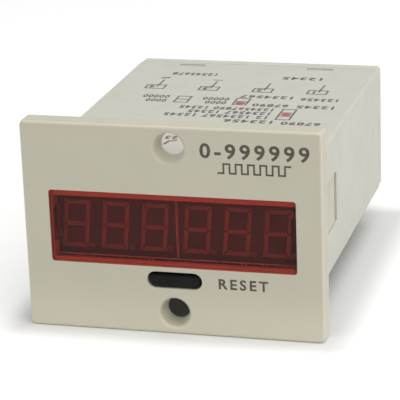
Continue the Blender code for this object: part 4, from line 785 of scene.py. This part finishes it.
def stroke_mesh(bm, points, width, place):
    """Add a printed line through several points, with mitred corners."""
    points = [Vector(point) for point in points]
    ways = [(end - start).normalized() for start, end in zip(points, points[1:])]
    flat = bmesh.new()
    rails = []
    for point, before, after in zip(points, ways[:1] + ways, ways + ways[-1:]):
        side = Vector((-before.y - after.y, before.x + after.x)) * width / 2 / (1 + before.dot(after))
        rails.append([flat.verts.new(place(*edge, 0.0)) for edge in (point - side, point + side)])
    for (right, left), (next_right, next_left) in zip(rails, rails[1:]):
        flat.faces.new((right, next_right, next_left, left))
    thicken(bm, flat, place)


def frame_mesh(bm, x0, x1, y0, y1, width, place):
    """Add a printed rectangle's four sides: the two across with the corners, and the two between them."""
    half = width / 2
    for left, right, near, far in (
            (x0 - half, x1 + half, y0 - half, y0 + half), (x0 - half, x1 + half, y1 - half, y1 + half),
            (x0 - half, x0 + half, y0 + half, y1 - half), (x1 - half, x1 + half, y0 + half, y1 - half)):
        polygon_mesh(bm, [(left, near), (right, near), (right, far), (left, far)], place)


def printed_piece(name, bm, material):
    mesh = finished_mesh(bm, name)
    mesh.materials.append(material)
    piece = link(bpy.data.objects.new(name, mesh))
    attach(piece, "case")


def on_front(x, z, out):
    """A point of the bezel's face: millimetres right and up of its middle, and metres outward."""
    return Vector((x * MM, FRONT_Y - out, MIDDLE_Z + z * MM))


def on_top(x, y, out):
    """A point of the housing's top: millimetres right and behind the bezel's face, and metres outward."""
    return Vector((x * MM, FRONT_Y + y * MM, TOP_Z + out))


def on_top_from_rear(x, y, out):
    """As on_top, turned about so that figures read from the rear."""
    return on_top(-x, -y, out)


def on_rear(x, z, out):
    """A point of the rear cover's face: millimetres left as seen from the front, and up from the middle."""
    return Vector((-x * MM, REAR_Y + out, MIDDLE_Z + z * MM))


# Operators

class COUNTER_OT_groups(bpy.types.Operator):
    """Build the node groups that the counter's finishes share"""
    bl_idname = "counter.groups"
    bl_label = "Build shared node groups"

    def execute(self, context):
        for build in (build_moulded_group, build_edge_group, build_dust_group, build_marks_group,
                      build_layer_group, build_track_group):
            build()
        return {"FINISHED"}


class COUNTER_OT_finishes(bpy.types.Operator):
    """Build the finishes and give each solid its own"""
    bl_idname = "counter.finishes"
    bl_label = "Build finishes"

    def execute(self, context):
        colours = context.scene.counter_finishes
        # The painted shadow of the slot's upper lip starts this high on the button
        button_low, button_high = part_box("reset_button")
        under_lip = (button_low.z + button_high.z) / 2 + LIP_SHADE
        made = {
            # edge sets the painted highlight along the edges, and foot the painted bounce light at the
            # bezel's foot
            "bezel_cream": moulded_finish(
                "bezel_cream_moulding", colours.bezel, "front_bezel", edge=1.30, foot=1.17),
            "case_white": moulded_finish("case_white_moulding", colours.case, "housing", edge=1.03),
            "window_red": window_finish(colours.window),
            "button_black": dark_finish(
                "button_black_satin", colours.button, toned(colours.button, 2), grain=0.35,
                rough=(0.42, 0.55), level=0.05, shaded_above=under_lip),
            "board_green": board_finish("main_board_resist", colours, 0.0),
            "chip_black": dark_finish("chip_black_epoxy", colours.chip, DUST, grain=0.2, rough=(0.45, 0.6)),
            "block_black": dark_finish(
                "block_black_phenolic", colours.block, DUST, grain=0.3, rough=(0.38, 0.55)),
            "steel": metal_finish(
                "steel_nickel_plated", colours.steel, stretch=(1, 10, 10), rough=(0.24, 0.36),
                tarnish=(0.42, 0.40, 0.36, 1.0)),
            "brass": metal_finish(
                "brass_stamped", colours.brass, stretch=(12, 12, 1), rough=(0.28, 0.42),
                tarnish=(0.42, 0.26, 0.10, 1.0)),
            "core_steel": layered_finish(
                "core_laminations", colours.core, pitch=0.5, turn=FULL_TURN / 4, metallic=1.0,
                rough=(0.4, 0.55), depth=0.08),
            "winding_tape": layered_finish(
                "winding_film_tape", colours.tape, pitch=4.2, turn=0.9, metallic=0.0, rough=(0.28, 0.42),
                depth=0.05),
            "bobbin_nylon": moulded_finish(
                "bobbin_natural_nylon", colours.bobbin, "transformer_bobbin", grain=0.3, rough=(0.42, 0.55)),
            "sleeve_blue": sleeve_finish(colours.sleeve),
        }
        own = {"display_board": board_finish("display_board_resist", colours, FULL_TURN / 4)}
        for side in ("left", "right"):
            own[f"led_module_{side}"] = digit_face_finish(f"led_module_{side}", colours.face, colours.module)
            own[f"led_segments_{side}"] = segment_finish(f"led_segments_{side}", colours.segment)
        slots = {row["node"]: row["material_slot"] for row in frame["record"]["subparts"]}
        for name, solid in SOLIDS.items():
            material = own[name] if name in own else made[slots[name]]
            solid.data.materials.clear()
            solid.data.materials.append(material)
        return {"FINISHED"}


class COUNTER_OT_skins(bpy.types.Operator):
    """Give the moulded and turned pieces a smoothly shaded skin"""
    bl_idname = "counter.skins"
    bl_label = "Smooth the mouldings"

    def execute(self, context):
        for node, slot, body, sharp in SKINS:
            mesh = SOLIDS[node].data.copy()
            bm = bmesh.new()
            bm.from_mesh(mesh)
            bmesh.ops.remove_doubles(bm, verts=bm.verts, dist=SAME_POINT)
            bmesh.ops.dissolve_limit(bm, angle_limit=SAME_FACE, verts=bm.verts, edges=bm.edges)
            bm.to_mesh(mesh)
            bm.free()
            copy = link(bpy.data.objects.new(f"{node}_copy", mesh))
            if node in BROKEN_EDGES:
                break_edges(copy, BROKEN_EDGES[node])
            shade(copy, sharp)
            settle(copy, f"{node}_skin", SOLIDS[node].data.materials[0], body, (node,))
        return {"FINISHED"}


class COUNTER_OT_front_print(bpy.types.Operator):
    """Print the counting range, the pulse sign and the reset legend on the bezel"""
    bl_idname = "counter.front_print"
    bl_label = "Print the bezel"

    def execute(self, context):
        bm = bmesh.new()
        for text, centre, width, height, weight, spacing in FRONT_TEXTS:
            text_mesh(bm, text, centre, width, height, on_front, weight, spacing)

        # A train of square pulses, the common sign for a counting input
        step = PULSES_LENGTH / PULSE_STEPS
        corners = []
        for number in range(PULSE_STEPS):
            level = PULSE_HIGH if number % 2 else PULSE_LOW
            corners += [(PULSES_LEFT + number * step, level), (PULSES_LEFT + (number + 1) * step, level)]
        stroke_mesh(bm, corners, context.scene.counter_print.line_width / MM, on_front)
        ink = ink_finish("front_print_ink", context.scene.counter_finishes.front_ink)
        printed_piece("front_print", bm, ink)
        return {"FINISHED"}


class COUNTER_OT_housing_print(bpy.types.Operator):
    """Print the terminal boxes, wires, rows of figures and check boxes on the housing's top"""
    bl_idname = "counter.housing_print"
    bl_label = "Print the housing"

    def execute(self, context):
        colours = context.scene.counter_finishes
        width = context.scene.counter_print.line_width / MM
        height = context.scene.counter_print.figure_height / MM
        bm = bmesh.new()

        # Numbered terminals with their wires; the two signs mark the supply
        for number, x in enumerate(TERMINAL_XS, start=1):
            frame_mesh(bm, x - BOX_HALF_WIDTH, x + BOX_HALF_WIDTH, BOX_FRONT, BOX_REAR, width, on_top)
            line_mesh(bm, (x + WIRE_START[0], WIRE_START[1]), (x + WIRE_END[0], WIRE_END[1]), width, on_top)
            centre = (-x - NUMBER_PLACE[0], -NUMBER_PLACE[1])
            text_mesh(bm, str(number), centre, 0, NUMBER_HEIGHT, on_top_from_rear, NUMBER_WEIGHT)
        line_mesh(bm, *SLANTED_SIGN, SIGN_WIDTH * width, on_top)
        line_mesh(bm, *LEVEL_SIGN, width, on_top)

        for text, x0, x1, y in FIGURE_ROWS:
            centre = (-(x0 + x1) / 2, -y)
            text_mesh(bm, text, centre, x1 - x0, height, on_top_from_rear, ROW_WEIGHT, ROW_SPACING)
        for x, y0, y1, cells in CHECK_BOXES:
            left, right = x - CHECK_HALF_WIDTH, x + CHECK_HALF_WIDTH
            frame_mesh(bm, left, right, y0, y1, width, on_top)
            for cell in range(1, cells):
                level = y0 + (y1 - y0) * cell / cells
                line_mesh(bm, (left + width, level), (right - width, level), width, on_top)
        stroke_mesh(bm, CORNER_MARK, MARK_WIDTH * width, on_top)
        printed_piece("housing_print", bm, ink_finish("housing_print_ink", colours.ink))

        bm = bmesh.new()
        for x, y in TICKS:
            turns = [FULL_TURN * step / TICK_CORNERS for step in range(TICK_CORNERS)]
            polygon_mesh(bm, [(x + TICK_RADII[0] * math.cos(turn), y + TICK_RADII[1] * math.sin(turn))
                              for turn in turns], on_top)
        printed_piece("housing_ticks", bm, ink_finish("tick_ink", colours.tick))
        return {"FINISHED"}


class COUNTER_OT_rear_print(bpy.types.Operator):
    """Number the terminals on the rear cover"""
    bl_idname = "counter.rear_print"
    bl_label = "Print the rear cover"

    def execute(self, context):
        bm = bmesh.new()
        for number, x in enumerate(TERMINAL_XS, start=1):
            text_mesh(bm, str(number), (-x, REAR_NUMBER_UP), 0, REAR_NUMBER_HEIGHT, on_rear)
        ink = ink_finish("rear_print_ink", context.scene.counter_finishes.ink)
        printed_piece("rear_print", bm, ink)
        return {"FINISHED"}


def bridge(bm, near, far):
    """Join two rings of points by a band of faces."""
    ends = zip(near, near[1:] + near[:1], far[1:] + far[:1], far)
    return [bm.faces.new(corners) for corners in ends]


def screw_mesh(sizes):
    """One pan-head screw that points along -Y from the underside of its head, turned from its profile."""
    head = sizes.head / 2
    shank = sizes.shank / 2
    pitch = sizes.thread_pitch
    root = shank - pitch * THREAD_DEPTH
    rim = sizes.head_height * RIM_HEIGHT
    y = shank * TIP_LENGTH - sizes.length
    profile = [(shank * TIP_RADIUS, -sizes.length), (root, y)]
    while y + pitch < -THREAD_END:
        profile += [(shank, y + pitch * CREST[0]), (shank, y + pitch * CREST[1]), (root, y + pitch)]
        y += pitch
    profile += [(shank, -COLLAR), (shank, 0.0), (head - HEAD_CHAMFER, 0.0), (head, HEAD_CHAMFER), (head, rim)]
    for step in range(1, CROWN_STEPS + 1):
        angle = FULL_TURN / 4 * step / CROWN_STEPS
        radius = head * (1 - (1 - CROWN_RADIUS) * (1 - math.cos(angle)))
        profile.append((radius, rim + (sizes.head_height - rim) * math.sin(angle)))

    bm = bmesh.new()
    turns = [FULL_TURN * side / SCREW_SIDES for side in range(SCREW_SIDES)]
    rings = [[bm.verts.new((radius * math.cos(turn), y, radius * math.sin(turn))) for turn in turns]
             for radius, y in profile]
    for near, far in zip(rings, rings[1:]):
        bridge(bm, near, far)
    bm.faces.new(rings[0])
    bm.faces.new(rings[-1])
    bmesh.ops.recalc_face_normals(bm, faces=bm.faces)
    return finished_mesh(bm, "terminal_screw_body")


def recess_mesh(sizes):
    """The slot across the head and the shorter, deeper cross in its middle, which narrows to its floor."""
    half = sizes.recess / 2
    top = 2 * sizes.head_height
    slot_reach = sizes.head
    cross_reach = sizes.head * CROSS_REACH
    narrowed = cross_reach * CROSS_TAPER
    bm = bmesh.new()

    # Each arm: half its size in X and Z at the top and at its floor, and how high the floor lies
    for at_top, at_floor, floor in (
            ((slot_reach, half), (slot_reach, half), SLOT_FLOOR),
            ((half, cross_reach), (half, narrowed), CROSS_FLOOR),
            ((cross_reach, half), (narrowed, half), CROSS_FLOOR)):
        lower, upper = (
            [bm.verts.new(corner) for corner in ((-x, y, -z), (x, y, -z), (x, y, z), (-x, y, z))]
            for (x, z), y in ((at_floor, floor * sizes.head_height), (at_top, top)))
        faces = [bm.faces.new(lower), bm.faces.new(list(reversed(upper))), *bridge(bm, lower, upper)]
        bmesh.ops.recalc_face_normals(bm, faces=faces)
    return finished_mesh(bm, "screw_recess")


def row_tree(material):
    """Geometry nodes that set copies of one object in a row along X, each turned further about Y."""
    tree = bpy.data.node_groups.new("Row of screws", "GeometryNodeTree")
    inputs = (("Screw", "NodeSocketObject"), ("Count", "NodeSocketInt"), ("Start", "NodeSocketVector"),
              ("Pitch", "NodeSocketFloat"), ("Turn", "NodeSocketFloat"))
    for label, kind in inputs:
        tree.interface.new_socket(name=label, in_out="INPUT", socket_type=kind)
    tree.interface.new_socket(name="Geometry", in_out="OUTPUT", socket_type="NodeSocketGeometry")
    row = NodeMaker(tree)
    given = tree.nodes.new("NodeGroupInput").outputs
    step = row.add("ShaderNodeCombineXYZ", {0: given["Pitch"]}).outputs[0]
    line = row.add("GeometryNodeMeshLine", {
        "Count": given["Count"], "Start Location": given["Start"], "Offset": step}).outputs[0]
    index = row.add("GeometryNodeInputIndex").outputs[0]
    angle = row.calculate("MULTIPLY", row.calculate("ADD", index, FIRST_TURN), given["Turn"])
    turn = row.add("ShaderNodeCombineXYZ", {1: angle}).outputs[0]
    screw = row.add("GeometryNodeObjectInfo", {"Object": given["Screw"]}).outputs["Geometry"]
    placed = row.add("GeometryNodeInstanceOnPoints", {
        "Points": line, "Instance": screw, "Rotation": turn}).outputs[0]
    whole = row.add("GeometryNodeRealizeInstances", {0: placed}).outputs[0]
    coated = row.add("GeometryNodeSetMaterial", {0: whole, "Material": material}).outputs[0]
    row.feed(tree.nodes.new("NodeGroupOutput").inputs["Geometry"], coated)
    return tree


def set_inputs(modifier, tree, **values):
    """Set a geometry nodes modifier's inputs by the identifiers of their sockets."""
    for item in tree.interface.items_tree:
        if item.item_type == "SOCKET" and item.in_out == "INPUT" and item.name in values:
            modifier[item.identifier] = values[item.name]


class COUNTER_OT_screws(bpy.types.Operator):
    """Fit the terminals with combination-head screws"""
    bl_idname = "counter.screws"
    bl_label = "Fit terminal screws"

    def execute(self, context):
        sizes = context.scene.counter_screws
        names = [f"terminal_screw_{number}" for number in range(1, len(TERMINAL_XS) + 1)]
        first_low, first_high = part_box(names[0])
        last_low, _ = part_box(names[-1])
        pitch = (last_low.x - first_low.x) / (len(names) - 1)
        start = ((first_low.x + first_high.x) / 2, first_high.y - sizes.head_height,
                 (first_low.z + first_high.z) / 2)
        screw = link(bpy.data.objects.new("screw_source", screw_mesh(sizes)))
        recess = link(bpy.data.objects.new("recess_source", recess_mesh(sizes)))
        cut = screw.modifiers.new("recess", "BOOLEAN")
        cut.object = recess
        cut.solver = "EXACT"
        cut.use_self = True
        cut_mesh = evaluated_mesh(screw)
        screw.modifiers.clear()
        screw.data = cut_mesh
        shade(screw, 30.0)
        bpy.data.objects.remove(recess)

        material = SOLIDS[names[0]].data.materials[0]
        row = link(bpy.data.objects.new("screw_row", bpy.data.meshes.new("screw_row")))
        tree = row_tree(material)
        nodes = row.modifiers.new("row", "NODES")
        nodes.node_group = tree
        set_inputs(nodes, tree, Screw=screw, Count=len(names), Start=start, Pitch=pitch, Turn=sizes.turn)
        settle(row, "terminal_screws", material, "case", names)
        bpy.data.objects.remove(screw)
        return {"FINISHED"}


class COUNTER_OT_stage(bpy.types.Operator):
    """Set up the floor, the studio light and the camera"""
    bl_idname = "counter.stage"
    bl_label = "Set the stage"

    def execute(self, context):
        scene = context.scene
        stage = scene.counter_stage
        scene.view_settings.view_transform = "Standard"
        scene.world = build_world(stage)
        build_floor(stage)
        add_lamp("key_lamp", KEY_PLACE, stage.key_power)
        add_lamp("fill_lamp", FILL_PLACE, stage.fill_power)
        scene.camera = add_camera(stage)
        return {"FINISHED"}


def build_world(stage):
    world = bpy.data.worlds.new("studio")
    world.use_nodes = True
    studio = NodeMaker(world.node_tree)
    background = world.node_tree.nodes["Background"].inputs
    background["Color"].default_value = (1.0, 1.0, 1.0, 1.0)
    studio.feed(background["Strength"], studio.spread(studio.seen_share(), 0.0, 1.0, stage.ambient, 1.0))
    return world


def past_footprint(finish):
    """How far a point of the floor lies past the counter's sides and past its ends, negative under it."""
    low, high = CAD_BOX
    x, y, _ = finish.parts(finish.place)
    past = []
    for along, start, end in ((x, low[0], high[0]), (y, low[1], high[1])):
        from_middle = finish.calculate("ABSOLUTE", finish.calculate("SUBTRACT", along, (start + end) / 2))
        past.append(finish.calculate("SUBTRACT", from_middle, (end - start) / 2))
    return past


def build_floor(stage):
    """A plain floor, with a painted shadow that deepens its tone under the counter, and some light of its own
    clear of it.
    """
    finish = Finish("studio_floor", Specular_IOR_Level=0.2, Emission_Color=(1.0, 1.0, 1.0, 1.0))
    surface = finish.group("Moulded surface", Grain=1.5 * MM, Cloud=220 * MM)
    past = past_footprint(finish)
    plain = finish.varied(surface["Tone"], stage.floor, 0.99, 1.0)
    # Painted shadow: the floor's colour is darkened inside the counter's footprint
    under = finish.calculate("MULTIPLY", *[finish.spread(share, SHADE_START, SHADE_FULL) for share in past])
    finish.colour(finish.mixed(under, plain, toned(stage.floor, 0.45)))
    finish.roughness(surface["Polish"], 0.8, 0.9)
    distance = finish.length(*[finish.calculate("MAXIMUM", share, 0.0) for share in past])
    clear = finish.spread(distance, 0.0, LIFT_FULL)
    seen = finish.calculate("MULTIPLY", finish.seen_share(), clear)
    lift = finish.calculate("MULTIPLY", seen, stage.floor_lift)
    finish.feed(finish.shader.inputs["Emission Strength"], lift)
    bm = bmesh.new()
    bm.faces.new([bm.verts.new((x * FLOOR_REACH, y * FLOOR_REACH, 0.0))
                  for x, y in ((-1, -1), (1, -1), (1, 1), (-1, 1))])
    mesh = finished_mesh(bm, "studio_floor")
    mesh.materials.append(finish.material)
    link(bpy.data.objects.new("studio_floor", mesh))


def add_lamp(name, place, power):
    """A round soft lamp that points at the middle of the bezel's height."""
    lamp = bpy.data.lights.new(name, "AREA")
    lamp.shape = "DISK"
    lamp.size = LAMP_SIZE
    lamp.energy = power
    obj = link(bpy.data.objects.new(name, lamp))
    obj.location = place
    obj.rotation_euler = (Vector((0, 0, MIDDLE_Z)) - obj.location).to_track_quat("-Z", "Y").to_euler()


def add_camera(stage):
    flat = Vector((math.sin(stage.azimuth), -math.cos(stage.azimuth), 0)) * math.cos(stage.elevation)
    back = flat + Vector((0, 0, math.sin(stage.elevation)))
    level = Vector((0, 0, 1)).cross(back).normalized()
    upright = back.cross(level)
    right = level * math.cos(stage.roll) + upright * math.sin(stage.roll)
    up = upright * math.cos(stage.roll) - level * math.sin(stage.roll)
    shift = right * stage.offset_x + up * stage.offset_z
    place = back * stage.distance + shift + Vector((0, FRONT_Y, MIDDLE_Z))
    data = bpy.data.cameras.new("photo_camera")
    data.lens = stage.lens
    data.sensor_width = SENSOR_WIDTH
    data.clip_start = VIEW_START
    data.clip_end = VIEW_END
    camera = link(bpy.data.objects.new("photo_camera", data))
    camera.matrix_world = Matrix.Translation(place) @ Matrix((right, up, back)).transposed().to_4x4()
    return camera


class COUNTER_PT_panel(bpy.types.Panel):
    """Sizes, colours and building steps of the counter"""
    bl_label = "Panel Counter"
    bl_space_type = "VIEW_3D"
    bl_region_type = "UI"
    bl_category = "Counter"

    def draw(self, context):
        layout = self.layout
        for name, group in GROUPS.items():
            box = layout.box()
            box.label(text=group.__name__)
            settings = getattr(context.scene, name)
            for field in group.__annotations__:
                box.prop(settings, field)
        for operator in OPERATORS:
            layout.operator(operator.bl_idname)


GROUPS = {
    "counter_finishes": CounterFinishes,
    "counter_print": CounterPrint,
    "counter_screws": CounterScrews,
    "counter_stage": CounterStage,
}
OPERATORS = (
    COUNTER_OT_groups,
    COUNTER_OT_finishes,
    COUNTER_OT_skins,
    COUNTER_OT_front_print,
    COUNTER_OT_housing_print,
    COUNTER_OT_rear_print,
    COUNTER_OT_screws,
    COUNTER_OT_stage,
)


def register():
    for group in GROUPS.values():
        bpy.utils.register_class(group)
    for name, group in GROUPS.items():
        setattr(bpy.types.Scene, name, bpy.props.PointerProperty(type=group))
    for operator in OPERATORS:
        bpy.utils.register_class(operator)
    bpy.utils.register_class(COUNTER_PT_panel)


def unregister():
    bpy.utils.unregister_class(COUNTER_PT_panel)
    for operator in reversed(OPERATORS):
        bpy.utils.unregister_class(operator)
    for name in GROUPS:
        delattr(bpy.types.Scene, name)
    for group in reversed(GROUPS.values()):
        bpy.utils.unregister_class(group)


def main():
    register()
    bpy.ops.counter.groups()
    bpy.ops.counter.finishes()
    bpy.ops.counter.skins()
    bpy.ops.counter.front_print()
    bpy.ops.counter.housing_print()
    bpy.ops.counter.rear_print()
    bpy.ops.counter.screws()
    bpy.ops.counter.stage()


if __name__ == "__main__":
    main()
